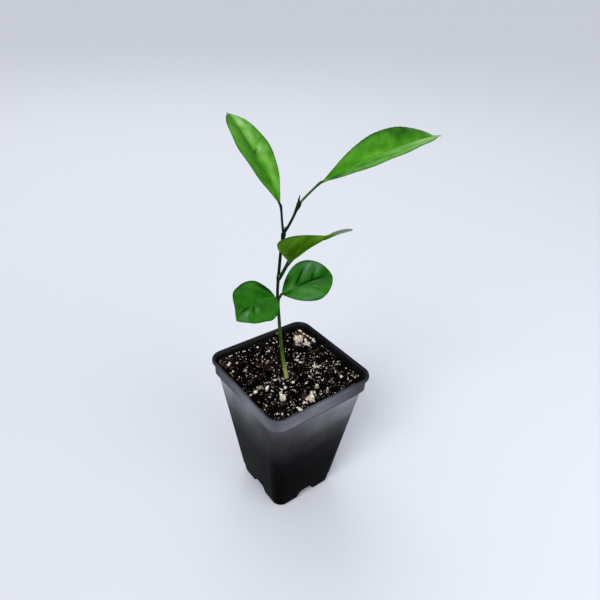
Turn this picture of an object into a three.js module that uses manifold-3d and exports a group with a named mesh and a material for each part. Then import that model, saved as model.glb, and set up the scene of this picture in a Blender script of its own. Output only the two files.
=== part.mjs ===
// A calamondin orange seedling with five leaves, in a square nursery pot filled with potting mix.
// Millimetres, +Z up. The origin is the middle of the pot's flat underside, and the pot's sides
// are parallel to X and Y.

import * as THREE from 'three';
import { mergeVertices } from 'three/addons/utils/BufferGeometryUtils.js';
import Module from 'manifold-3d';

const wasm = await Module();
wasm.setup();

// ---------------------------------------------------------------- driving dimensions

// Free space between neighbouring pieces.
const GAP = 0.3;

const POT = {
  height: 83,
  rimHalf: 31.85, // half the width over the lip
  lipDepth: 2.2,
  lipWidth: 2.1,
  collarHalf: 30.6,
  collarDepth: 8.8,
  topHalf: 30.75, // half the width where the tapered wall would reach the rim
  baseHalf: 19.3, // and where it would reach the ground
  footHeight: 7.6,
  footStep: 0.35, // the foot ring stands this far inside the wall
  footHalf: 17.8, // half the width of the face the pot stands on
  wall: 1.0,
  rimRadius: 7.6,
  baseRadius: 6.2,
};

// The drainage recess in the middle of each side, which leaves a foot at each corner.
const RECESS = { width: 12, topWidth: 8, height: 5.9, depth: 6.4, slotWidth: 6, slotDepth: 2.6 };

// The potting mix ends this high, flat round the stem and uneven elsewhere.
const SOIL = { top: 78, roughness: 0.55, flatRadius: 3.5, edgeRise: 0.5 };

// The stem's path, from just below its level cut at ground level to the fork.
const STEM_FOOT = new THREE.Vector2(-3.9, -2.7);
const STEM_BASE_HEIGHT = SOIL.top + GAP;
const STEM_PATH = [
  [-3.75, -2.82, STEM_BASE_HEIGHT - 1.2],
  [-6.1, -0.95, 96.2],
  [-7.75, 0.35, 120.2],
  [-8.25, 0.75, 130],
  [-7.8, 0.4, 142.7],
  [-7.25, 0, 152.5],
  [-6.5, -0.65, 160.6],
];
const STEM = { baseRadius: 0.98, topRadius: 0.64, flare: 0.32, flareHeight: 2.5 };

// Swellings of the stem where leaves leave it: height, extra radius and half-length.
const STEM_NODES = [
  { height: 125.6, swell: 0.24, reach: 1.9 },
  { height: 138.0, swell: 0.22, reach: 1.6 },
  { height: 160.2, swell: 0.42, reach: 2.0 },
];

// The upper shoot: one bough from the fork to its terminal bud.
const SHOOT_PATH = [
  [-6.38, -0.75, 160.95],
  [-4.9, -1.92, 164.4],
  [-3.48, -2.97, 168.25],
  [-2.45, -3.8, 171.8],
  [-1.5, -4.5, 175.0],
  [-1.65, -4.4, 176.6],
  [-1.25, -4.75, 179.0],
];
const SHOOT = { baseRadius: 0.72, midRadius: 0.56, topRadius: 0.95, budRadius: 0.5, tipRadius: 0.12 };

// Small buds in the leaf axils and the seed-leaf scar low on the stem: the limb each one grows on,
// its height, the azimuth it faces, and its radius outwards, sideways and upwards.
const BUDS = [
  { limb: 'stem', height: 139.6, azimuth: -75, radii: [0.42, 0.5, 1.0] },
  { limb: 'stem', height: 127.6, azimuth: -40, radii: [0.4, 0.45, 0.8] },
  { limb: 'stem', height: 106.2, azimuth: 142, radii: [0.7, 0.62, 0.8] },
  { limb: 'shoot', height: 175.9, azimuth: -60, radii: [0.36, 0.42, 0.8] },
];

// Each leaf: where its petiole leaves the limb, the way points to the blade's base, and the
// blade. Angles are degrees. The azimuth is counted from +X towards +Y, the elevation up from
// level. Along the blade the midrib droops by `droop` with the power `droopPower`, bends sideways
// by `bend`, and the blade rolls about it by `roll` and then `twist` more. `fold` is how far each
// half rises from the midrib, and `curl` how much further it has risen at the margin.
// `halfWidths` and `shapes` are given for the left half and the right: each half's width, and the
// exponents of its outline at base and tip.
// The outline proper takes `body` of the length, in the left half and the right, and a pointed tip
// `tail` wide runs on from it. A `lobe` is a place where one half (0 or 1) stands out a little more.
const LEAVES = [
  {
    name: 'leaf_upper_left',
    limb: 'shoot',
    root: [-6.7, -0.3, 161.6],
    petiole: [[-6.2, 1.0, 165.0]],
    petioleHalf: [0.55, 0.5],
    base: [-5.35, 3.7, 172.15],
    azimuth: 81.1, elevation: 33.9, droop: 5.1, droopPower: 1.5, bend: 13.3, roll: 16.1, twist: 0.8,
    length: 56.4, halfWidths: [10.8, 11.15], fold: 10.1, curl: 2.1,
    shapes: [[1.11, 0.8], [1.17, 0.59]], body: [0.985, 0.985], tail: 0.05,
  },
  {
    name: 'leaf_upper_right',
    limb: 'shoot',
    root: [-1.45, -4.45, 174.9],
    petiole: [[-0.1, -5.4, 176.9]],
    petioleHalf: [0.5, 0.5],
    base: [5.95, -9.45, 184.6],
    azimuth: -7.7, elevation: 17.1, droop: 18.4, droopPower: 1.5, bend: 8.2, roll: 16.7, twist: -16.6,
    length: 69.7, halfWidths: [12.2, 11.95], fold: 17.3, curl: 6.2,
    shapes: [[1.13, 0.58], [0.97, 0.62]], body: [0.93, 0.93], tail: 0.42,
  },
  {
    name: 'leaf_middle',
    limb: 'stem',
    root: [-7.95, 0.5, 137.6],
    petiole: [[-7.5, -2.4, 142.4]],
    petioleHalf: [1.05, 0.45],
    base: [-6.95, -5.9, 148.8],
    azimuth: -27, elevation: 39.5, droop: 26.1, droopPower: 1.5, bend: -10.1, roll: 32.8, twist: 4.5,
    length: 33.2, halfWidths: [11.1, 10.75], fold: 55.2, curl: 6.2,
    shapes: [[0.21, 1.23], [0.44, 1.03]], body: [0.7, 0.57], tail: 0.44,
  },
  {
    name: 'leaf_lower_right',
    limb: 'stem',
    root: [-8.0, 0.5, 125.2],
    petiole: [[-7.75, -0.5, 128.0]],
    petioleHalf: [0.62, 0.5],
    base: [-7.42, -1.5, 129.95],
    azimuth: -18.5, elevation: 22.9, droop: 17.5, droopPower: 1.5, bend: -4.4, roll: 24.6, twist: -4,
    length: 25.9, halfWidths: [11.95, 12.15], fold: 5.3, curl: 5.2,
    shapes: [[0.95, 0.69], [0.94, 0.69]], body: [1, 1], tail: 0,
  },
  {
    name: 'leaf_lower_left',
    limb: 'stem',
    root: [-8.1, 0.6, 125.9],
    petiole: [[-8.9, 0.25, 126.9]],
    petioleHalf: [0.62, 0.5],
    base: [-9.55, -0.12, 127.75],
    azimuth: -180, elevation: 9.8, droop: 14, droopPower: 1.5, bend: 36.6, roll: -18.5, twist: -18.3,
    length: 29.2, halfWidths: [11.3, 12.1], fold: 6.8, curl: 7.6,
    shapes: [[0.67, 0.8], [0.58, 1.09]], body: [1, 1], tail: 0.1,
    lobe: { hand: 1, at: 0.7, reach: 0.07, rise: 0.12 },
  },
];

// A blade's thickness as a share of its length, and the least it may be.
const BLADE = { thicknessShare: 0.0103, leastThickness: 0.45, endHalfWidth: 0.35 };

// How finely the surfaces are faceted.
const CORNER_STEPS = 6;
const LIMB_SIDES = 10;
const BLADE_STATIONS = 22;
const BLADE_COLUMNS = 4; // in each half
const SOIL_RINGS = 9;

// ---------------------------------------------------------------- surfaces and solids

const vector = (point) => new THREE.Vector3(...point);
const mix = THREE.MathUtils.lerp;
const rad = THREE.MathUtils.degToRad;
const bell = (x, middle, reach) => Math.exp(-(((x - middle) / reach) ** 2));

// A closed surface through rings of points that all have the same count, with a fan on each end.
function loft(rings) {
  const count = rings[0].length;
  const positions = rings.flat().flatMap((point) => point.toArray());
  const indices = [];
  for (let ring = 0; ring + 1 < rings.length; ring++) {
    for (let j = 0; j < count; j++) {
      const next = (j + 1) % count;
      const a = ring * count + j;
      const b = ring * count + next;
      indices.push(a, b, b + count, a, b + count, a + count);
    }
  }
  for (const [ring, turned] of [[0, true], [rings.length - 1, false]]) {
    const middle = positions.length / 3;
    const centre = new THREE.Vector3();
    rings[ring].forEach((point) => centre.addScaledVector(point, 1 / count));
    positions.push(...centre.toArray());
    for (let j = 0; j < count; j++) {
      const a = ring * count + j;
      const b = ring * count + ((j + 1) % count);
      indices.push(...(turned ? [b, a, middle] : [a, b, middle]));
    }
  }
  const geometry = new THREE.BufferGeometry();
  geometry.setAttribute('position', new THREE.Float32BufferAttribute(positions, 3));
  geometry.setIndex(enclosedVolume(positions, indices) < 0 ? indices.reverse() : indices);
  return geometry;
}

// The signed volume inside a closed set of triangles: negative where they face inwards.
function enclosedVolume(positions, indices) {
  let volume = 0;
  const corners = [new THREE.Vector3(), new THREE.Vector3(), new THREE.Vector3()];
  for (let i = 0; i < indices.length; i += 3) {
    corners.forEach((corner, k) => corner.fromArray(positions, 3 * indices[i + k]));
    volume += corners[0].dot(corners[1].cross(corners[2])) / 6;
  }
  return volume;
}

function solid(geometry) {
  const bare = geometry.clone();
  bare.deleteAttribute('normal');
  bare.deleteAttribute('uv');
  const merged = mergeVertices(bare, 1e-5);
  return new wasm.Manifold(new wasm.Mesh({
    numProp: 3,
    vertProperties: new Float32Array(merged.attributes.position.array),
    triVerts: new Uint32Array(merged.index.array),
  }));
}

function toMesh(name, manifold, material) {
  const result = manifold.getMesh();
  const geometry = new THREE.BufferGeometry();
  geometry.setAttribute('position', new THREE.BufferAttribute(new Float32Array(result.vertProperties), 3));
  geometry.setIndex(new THREE.BufferAttribute(new Uint32Array(result.triVerts), 1));
  geometry.computeVertexNormals();
  const mesh = new THREE.Mesh(geometry, material);
  mesh.name = name;
  return mesh;
}

// ---------------------------------------------------------------- pot

// A square with rounded corners, level at height z, anticlockwise from above.
function roundedSquare(half, radius, z) {
  const ring = [];
  const corners = [[1, 1], [-1, 1], [-1, -1], [1, -1]];
  corners.forEach(([signX, signY], corner) => {
    for (let step = 0; step <= CORNER_STEPS; step++) {
      const angle = (corner + step / CORNER_STEPS) * Math.PI / 2;
      const x = signX * (half - radius) + radius * Math.cos(angle);
      const y = signY * (half - radius) + radius * Math.sin(angle);
      ring.push(new THREE.Vector3(x, y, z));
    }
  });
  return ring;
}

const wallHalf = (z) => mix(POT.baseHalf, POT.topHalf, z / POT.height);
const wallRadius = (z) => mix(POT.baseRadius, POT.rimRadius, z / POT.height);

// Levels given as [half width, corner radius, height], turned into a closed solid.
const squareLoft = (levels) => solid(loft(levels.map((level) => roundedSquare(...level))));

function potOutside() {
  const collarFoot = POT.height - POT.collarDepth;
  const lipFoot = POT.height - POT.lipDepth;
  const footTop = POT.footHeight;
  const inset = POT.footStep;
  return squareLoft([
    [POT.footHalf, POT.baseRadius - 1.4, 0],
    [wallHalf(1.4) - inset - 0.35, POT.baseRadius - 0.8, 0.5],
    [wallHalf(1.4) - inset, POT.baseRadius - 0.5, 1.4],
    [wallHalf(footTop) - inset, wallRadius(footTop) - inset, footTop],
    [wallHalf(footTop + 0.4), wallRadius(footTop), footTop + 0.4],
    [wallHalf(collarFoot), wallRadius(collarFoot), collarFoot],
    [POT.collarHalf - 0.25, POT.rimRadius - 0.8, collarFoot + 0.15],
    [POT.collarHalf, POT.rimRadius - 0.6, collarFoot + 0.5],
    [POT.collarHalf, POT.rimRadius - 0.6, lipFoot - 0.7],
    [POT.rimHalf - 0.2, POT.rimRadius - 0.1, lipFoot],
    [POT.rimHalf, POT.rimRadius, lipFoot + 0.4],
    [POT.rimHalf, POT.rimRadius, POT.height - 0.5],
    [POT.rimHalf - 0.15, POT.rimRadius - 0.1, POT.height - 0.1],
    [POT.rimHalf - 0.5, POT.rimRadius - 0.4, POT.height],
  ]);
}

// The space inside the walls, made smaller all round by `clearance`, up to the height `top`.
function potInside(clearance, top) {
  const inset = POT.wall + clearance;
  const floor = POT.wall + 0.2 + clearance;
  const neck = POT.height - POT.collarDepth;
  const innerHalf = (z) => wallHalf(z) - inset;
  const innerRadius = (z) => wallRadius(z) - inset;
  const levels = [
    [innerHalf(floor) - 1.8, innerRadius(floor) - 1.2, floor],
    [innerHalf(floor + 0.6) - 0.5, innerRadius(floor) - 0.4, floor + 0.6],
    [innerHalf(floor + 1.8), innerRadius(floor), floor + 1.8],
    [innerHalf(neck), innerRadius(neck), neck],
  ];
  if (top > POT.height) {
    const mouthHalf = POT.rimHalf - POT.lipWidth;
    levels.push([mouthHalf, POT.rimRadius - POT.lipWidth, POT.height - 0.9]);
    levels.push([mouthHalf + 0.5, POT.rimRadius - POT.lipWidth + 0.3, POT.height - 0.2]);
    levels.push([mouthHalf + 1.1, POT.rimRadius - POT.lipWidth + 0.6, POT.height]);
    levels.push([mouthHalf + 1.1, POT.rimRadius - POT.lipWidth + 0.6, top]);
  } else {
    levels.push([innerHalf(top), innerRadius(top), top]);
  }
  return levels;
}

// The four recesses, each made larger all round by `growth`.
function recesses(growth) {
  const { width, topWidth, height, depth } = RECESS;
  const outline = new THREE.Shape();
  const foot = width / 2 + growth;
  const head = topWidth / 2 + growth;
  outline.moveTo(-foot, -1 - growth);
  outline.lineTo(foot, -1 - growth);
  outline.lineTo(foot, 0);
  outline.quadraticCurveTo(foot - 0.4, height + growth, head - 1.2, height + growth);
  outline.lineTo(1.2 - head, height + growth);
  outline.quadraticCurveTo(0.4 - foot, height + growth, -foot, 0);
  const reach = depth + growth + 6;
  const bar = new THREE.ExtrudeGeometry(outline, { depth: reach, bevelEnabled: false, curveSegments: 4 });
  bar.rotateX(Math.PI / 2);
  bar.translate(0, -(POT.footHalf - depth - growth), 0);
  return [0, 1, 2, 3].map((side) => solid(bar.clone().rotateZ(side * Math.PI / 2)));
}

// The slots that drain the mix, through the roof of each recess.
function drainSlots() {
  const { slotWidth, slotDepth, height, depth } = RECESS;
  const slot = new THREE.BoxGeometry(slotWidth, slotDepth, 3);
  slot.translate(0, -(POT.footHalf - depth / 2), height + 0.6);
  return [0, 1, 2, 3].map((side) => solid(slot.clone().rotateZ(side * Math.PI / 2)));
}

const subtractAll = (body, tools) => tools.reduce((left, tool) => left.subtract(tool), body);

function makePot() {
  const cavity = subtractAll(squareLoft(potInside(0, POT.height + 1)), recesses(POT.wall));
  return subtractAll(potOutside().subtract(cavity), [...recesses(0), ...drainSlots()]);
}

// ---------------------------------------------------------------- potting mix

// A gentle, repeatable unevenness between -1 and 1.
function ripple(x, y) {
  const broad = Math.sin(0.21 * x + 1.3) * Math.cos(0.17 * y - 0.4);
  const fine = Math.sin(0.55 * x - 0.38 * y) * Math.cos(0.47 * y + 0.29 * x + 2.1);
  return 0.55 * broad + 0.45 * fine;
}

function soilHeight(x, y) {
  const fromStem = Math.hypot(x - STEM_FOOT.x, y - STEM_FOOT.y);
  const away = THREE.MathUtils.smoothstep(fromStem, SOIL.flatRadius, 3 * SOIL.flatRadius);
  const outward = Math.max(Math.abs(x), Math.abs(y)) / POT.topHalf;
  return SOIL.top + away * (SOIL.roughness * ripple(x, y) + SOIL.edgeRise * outward ** 3);
}

function makePottingMix() {
  const surfaceEdge = SOIL.top - 0.2;
  const levels = potInside(GAP, surfaceEdge);
  const rings = levels.map((level) => roundedSquare(...level));
  const [half, radius] = levels[levels.length - 1];
  for (let step = 0; step < SOIL_RINGS; step++) {
    const share = 1 - step / SOIL_RINGS;
    const ring = roundedSquare(half * share, Math.max(radius * share, 0.4), 0);
    const pull = (1 - share) ** 2;
    ring.forEach((point) => {
      point.x += pull * STEM_FOOT.x;
      point.y += pull * STEM_FOOT.y;
      point.z = soilHeight(point.x, point.y);
    });
    rings.push(ring);
  }
  return subtractAll(solid(loft(rings)), recesses(POT.wall + GAP));
}

// ---------------------------------------------------------------- stem, shoot and buds

// A round or oval limb along a smooth path. sectionAt(share, point) gives its half-width across
// the reference direction and its half-depth along it.
function limb(points, sectionAt, steps, reference) {
  const path = new THREE.CatmullRomCurve3(points.map(vector), false, 'centripetal');
  const rings = [];
  for (let step = 0; step <= steps; step++) {
    const share = step / steps;
    const centre = path.getPointAt(share);
    const tangent = path.getTangentAt(share);
    const side = tangent.clone().cross(reference).normalize();
    const front = side.clone().cross(tangent);
    const [halfWidth, halfDepth] = sectionAt(share, centre);
    const ring = [];
    for (let j = 0; j < LIMB_SIDES; j++) {
      const angle = (2 * Math.PI * j) / LIMB_SIDES;
      const point = centre.clone().addScaledVector(side, halfWidth * Math.cos(angle));
      ring.push(point.addScaledVector(front, halfDepth * Math.sin(angle)));
    }
    rings.push(ring);
  }
  return solid(loft(rings));
}

const LEVEL_REFERENCE = new THREE.Vector3(0, -1, 0);

function stemRadius(z) {
  const share = (z - STEM_BASE_HEIGHT) / (STEM_PATH.at(-1)[2] - STEM_BASE_HEIGHT);
  const plain = mix(STEM.baseRadius, STEM.topRadius, Math.min(1, 1.6 * share));
  const flare = STEM.flare * Math.exp(-(z - STEM_BASE_HEIGHT) / STEM.flareHeight);
  const swellings = STEM_NODES.map((node) => node.swell * bell(z, node.height, node.reach));
  return plain + flare + swellings.reduce((sum, swelling) => sum + swelling, 0);
}

function stemLimb(growth) {
  const section = (share, point) => Array(2).fill(stemRadius(point.z) + growth);
  const ground = new THREE.BoxGeometry(12, 12, 6);
  ground.translate(STEM_FOOT.x, STEM_FOOT.y, STEM_BASE_HEIGHT - growth - 3);
  return limb(STEM_PATH, section, 48, LEVEL_REFERENCE).subtract(solid(ground));
}

// The shoot narrows from the fork, swells at its last node and ends in a slender bud.
function shootRadius(share) {
  const nodeShare = 0.79;
  if (share < nodeShare) {
    const dip = Math.sin((Math.PI * share) / nodeShare) * (SHOOT.topRadius - SHOOT.midRadius);
    return mix(SHOOT.baseRadius, SHOOT.topRadius, share / nodeShare) - dip;
  }
  const along = (share - nodeShare) / (1 - nodeShare);
  const bud = mix(SHOOT.budRadius, SHOOT.tipRadius, along ** 1.5);
  return mix(SHOOT.topRadius, bud, THREE.MathUtils.smoothstep(along, 0, 0.35));
}

function shootLimb(growth) {
  return limb(SHOOT_PATH, (share) => Array(2).fill(shootRadius(share) + growth), 22, LEVEL_REFERENCE);
}

// The point of a limb's path at the height z.
function pathPoint(points, z) {
  const path = new THREE.CatmullRomCurve3(points.map(vector), false, 'centripetal');
  const miss = (point) => Math.abs(point.z - z);
  return path.getPoints(400).reduce((best, point) => (miss(point) < miss(best) ? point : best));
}

function buds(limbName, points, radiusAt, growth) {
  return BUDS.filter((bud) => bud.limb === limbName).map((bud) => {
    const ball = new THREE.SphereGeometry(1, 10, 8);
    ball.rotateX(Math.PI / 2);
    ball.scale(...bud.radii.map((radius) => radius + growth));
    ball.translate(radiusAt(bud.height), 0, 0);
    ball.rotateZ(rad(bud.azimuth));
    ball.translate(...pathPoint(points, bud.height).toArray());
    return solid(ball);
  });
}

const addAll = (body, extras) => extras.reduce((sum, extra) => sum.add(extra), body);

function makeStem(growth) {
  return addAll(stemLimb(growth), buds('stem', STEM_PATH, stemRadius, growth));
}

function makeShoot(growth) {
  return addAll(shootLimb(growth), buds('shoot', SHOOT_PATH, () => SHOOT.topRadius, growth));
}

// ---------------------------------------------------------------- leaves

// The half-width of a leaf's half at `share` of the length, as a part of its greatest half-width.
function outline(leaf, hand, share) {
  const [baseExponent, tipExponent] = leaf.shapes[hand];
  const widest = baseExponent / (baseExponent + tipExponent);
  const along = THREE.MathUtils.clamp(share / leaf.body[hand], 0, 1);
  const main = (along / widest) ** baseExponent * ((1 - along) / (1 - widest)) ** tipExponent;
  const point = leaf.tail * share ** 2 * (1 - share) ** 0.6;
  const lobe = leaf.lobe?.hand === hand ? leaf.lobe.rise * bell(share, leaf.lobe.at, leaf.lobe.reach) : 0;
  return (main ** 4 + point ** 4) ** 0.25 + lobe;
}

// The midrib as stations, each with its place, direction, sideways and upward directions.
function midrib(leaf) {
  const stations = [];
  const centre = vector(leaf.base);
  let before = 0;
  for (let i = 0; i <= BLADE_STATIONS; i++) {
    const share = (1 - Math.cos((Math.PI * i) / BLADE_STATIONS)) / 2;
    const middle = (before + share) / 2;
    centre.addScaledVector(directionAt(leaf, middle), leaf.length * (share - before));
    before = share;
    const along = directionAt(leaf, share);
    const level = along.clone().cross(new THREE.Vector3(0, 0, 1)).normalize();
    const above = level.clone().cross(along);
    const roll = rad(leaf.roll + leaf.twist * share);
    const side = level.clone().multiplyScalar(Math.cos(roll)).addScaledVector(above, -Math.sin(roll));
    const up = level.multiplyScalar(Math.sin(roll)).addScaledVector(above, Math.cos(roll));
    stations.push({ share, centre: centre.clone(), along, side, up });
  }
  return stations;
}

function directionAt(leaf, share) {
  const elevation = rad(leaf.elevation - leaf.droop * share ** leaf.droopPower);
  const azimuth = rad(leaf.azimuth + leaf.bend * share);
  return new THREE.Vector3(
    Math.cos(elevation) * Math.cos(azimuth),
    Math.cos(elevation) * Math.sin(azimuth),
    Math.sin(elevation),
  );
}

// A closed ring round the blade at one station: over the upper face, back under the lower one.
function bladeRing(leaf, station, thickness) {
  const fold = rad(leaf.fold);
  const curl = rad(leaf.curl);
  const upper = [];
  const lower = [];
  for (let column = -BLADE_COLUMNS; column <= BLADE_COLUMNS; column++) {
    const hand = column < 0 ? 0 : 1;
    const sign = Math.sign(column);
    const reach = Math.abs(column) / BLADE_COLUMNS;
    const spread = outline(leaf, hand, station.share) * leaf.halfWidths[hand];
    const halfWidth = Math.max(spread, BLADE.endHalfWidth);
    const angle = fold + curl * reach;
    const across = (halfWidth * (Math.sin(angle) - Math.sin(fold))) / curl;
    const rise = (halfWidth * (Math.cos(fold) - Math.cos(angle))) / curl;
    const point = station.centre.clone().addScaledVector(station.side, sign * across);
    point.addScaledVector(station.up, rise);
    const normal = station.up.clone().multiplyScalar(column === 0 ? 1 : Math.cos(angle));
    normal.addScaledVector(station.side, -sign * Math.sin(angle));
    upper.push(point.clone().addScaledVector(normal, thickness / 2));
    lower.unshift(point.addScaledVector(normal, -thickness / 2));
  }
  return [...upper, ...lower];
}

// The petiole runs on under the blade as its midrib, thinning to nothing half way along.
function petioleLimb(leaf, stations) {
  const rib = stations.filter((station) => station.share > 0.02 && station.share < 0.5);
  const sunk = rib.map((station) => station.centre.clone().addScaledVector(station.up, -0.12).toArray());
  const points = [leaf.root, ...leaf.petiole, leaf.base, ...sunk];
  const path = new THREE.CatmullRomCurve3(points.map(vector), false, 'centripetal');
  const joint = vector(leaf.root).distanceTo(vector(leaf.base)) / path.getLength();
  const [halfWidth, halfDepth] = leaf.petioleHalf;
  const section = (share) => {
    const past = Math.max(0, (share - joint) / (1 - joint));
    const thinning = 1 - 0.75 * past;
    return [mix(halfWidth, halfDepth, Math.min(1, 4 * past)) * thinning, halfDepth * thinning];
  };
  return limb(points, section, 26, stations[0].up);
}

function makeLeaf(leaf) {
  const stations = midrib(leaf);
  const thickness = Math.max(BLADE.thicknessShare * leaf.length, BLADE.leastThickness);
  const blade = solid(loft(stations.map((station) => bladeRing(leaf, station, thickness))));
  const whole = blade.add(petioleLimb(leaf, stations));
  return whole.subtract(makeStem(GAP)).subtract(makeShoot(GAP));
}

// ---------------------------------------------------------------- materials and assembly

const plastic = new THREE.MeshStandardMaterial({ color: 0x1d1f25, roughness: 0.42, metalness: 0 });
const mixMaterial = new THREE.MeshStandardMaterial({ color: 0x2a211b, roughness: 0.95, metalness: 0 });
const bark = new THREE.MeshStandardMaterial({ color: 0x2f5a1e, roughness: 0.55, metalness: 0 });
const foliage = new THREE.MeshStandardMaterial({ color: 0x3a8a22, roughness: 0.4, metalness: 0 });

const seedling = new THREE.Group();
seedling.add(toMesh('pot', makePot(), plastic));
seedling.add(toMesh('potting_mix', makePottingMix(), mixMaterial));
seedling.add(toMesh('stem', makeStem(0), bark));
seedling.add(toMesh('upper_shoot', makeShoot(0), bark));
LEAVES.forEach((leaf) => seedling.add(toMesh(leaf.name, makeLeaf(leaf), foliage)));

export default seedling;
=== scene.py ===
"""Looks for the potted calamondin seedling: finer leaves, stem, pot and potting mix over the CAD frame."""

import math

import bmesh
import bpy
import numpy as np
from mathutils import Matrix, Vector, noise


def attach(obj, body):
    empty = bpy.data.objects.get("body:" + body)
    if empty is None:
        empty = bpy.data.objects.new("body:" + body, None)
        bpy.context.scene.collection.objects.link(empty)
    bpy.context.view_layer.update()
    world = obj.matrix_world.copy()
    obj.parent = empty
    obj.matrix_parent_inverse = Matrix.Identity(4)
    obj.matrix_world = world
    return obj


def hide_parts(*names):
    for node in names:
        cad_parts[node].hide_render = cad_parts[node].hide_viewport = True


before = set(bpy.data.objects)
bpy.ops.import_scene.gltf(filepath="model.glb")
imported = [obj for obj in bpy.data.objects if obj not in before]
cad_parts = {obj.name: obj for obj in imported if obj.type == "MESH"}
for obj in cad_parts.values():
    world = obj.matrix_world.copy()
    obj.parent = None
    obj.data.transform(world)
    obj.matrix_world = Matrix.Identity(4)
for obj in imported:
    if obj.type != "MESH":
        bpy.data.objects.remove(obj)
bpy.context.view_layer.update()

MM = 0.001

# ---- sizes of the part's source, mm

POT = dict(
    height=83, rim_half=31.85, lip_depth=2.2, lip_width=2.1, collar_half=30.6, collar_depth=8.8,
    top_half=30.75, base_half=19.3, foot_height=7.6, foot_step=0.35, foot_half=17.8, wall=1.0,
    rim_radius=7.6, base_radius=6.2,
)
RECESS = dict(width=12, top_width=8, height=5.9, depth=6.4, slot_width=6, slot_depth=2.6)
SOIL_TOP = 78
# How far apart the source's pieces stand.
CLEARANCE = 0.3

STEM = dict(foot=(-3.9, -2.7), top=160.6, foot_radius=0.98, top_radius=0.64, flare=0.32, flare_reach=2.5)
STEM_PATH = [
    (-3.6, -2.94, 76.0), (-6.1, -0.95, 96.2), (-7.75, 0.35, 120.2), (-8.25, 0.75, 130), (-7.8, 0.4, 142.7),
    (-7.25, 0, 152.5), (-6.5, -0.65, STEM["top"]),
]
# Where leaves leave the stem: height, swelling and reach.
STEM_NODES = [(125.6, 0.24, 1.9), (138.0, 0.22, 1.6), (160.2, 0.42, 2.0)]
SHOOT_PATH = [
    (-6.6, -0.55, 160.0), (-6.38, -0.75, 160.95), (-4.9, -1.92, 164.4), (-3.48, -2.97, 168.25),
    (-2.45, -3.8, 171.8), (-1.5, -4.5, 175.0), (-1.65, -4.4, 176.6), (-1.25, -4.75, 179.0),
]

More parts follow.
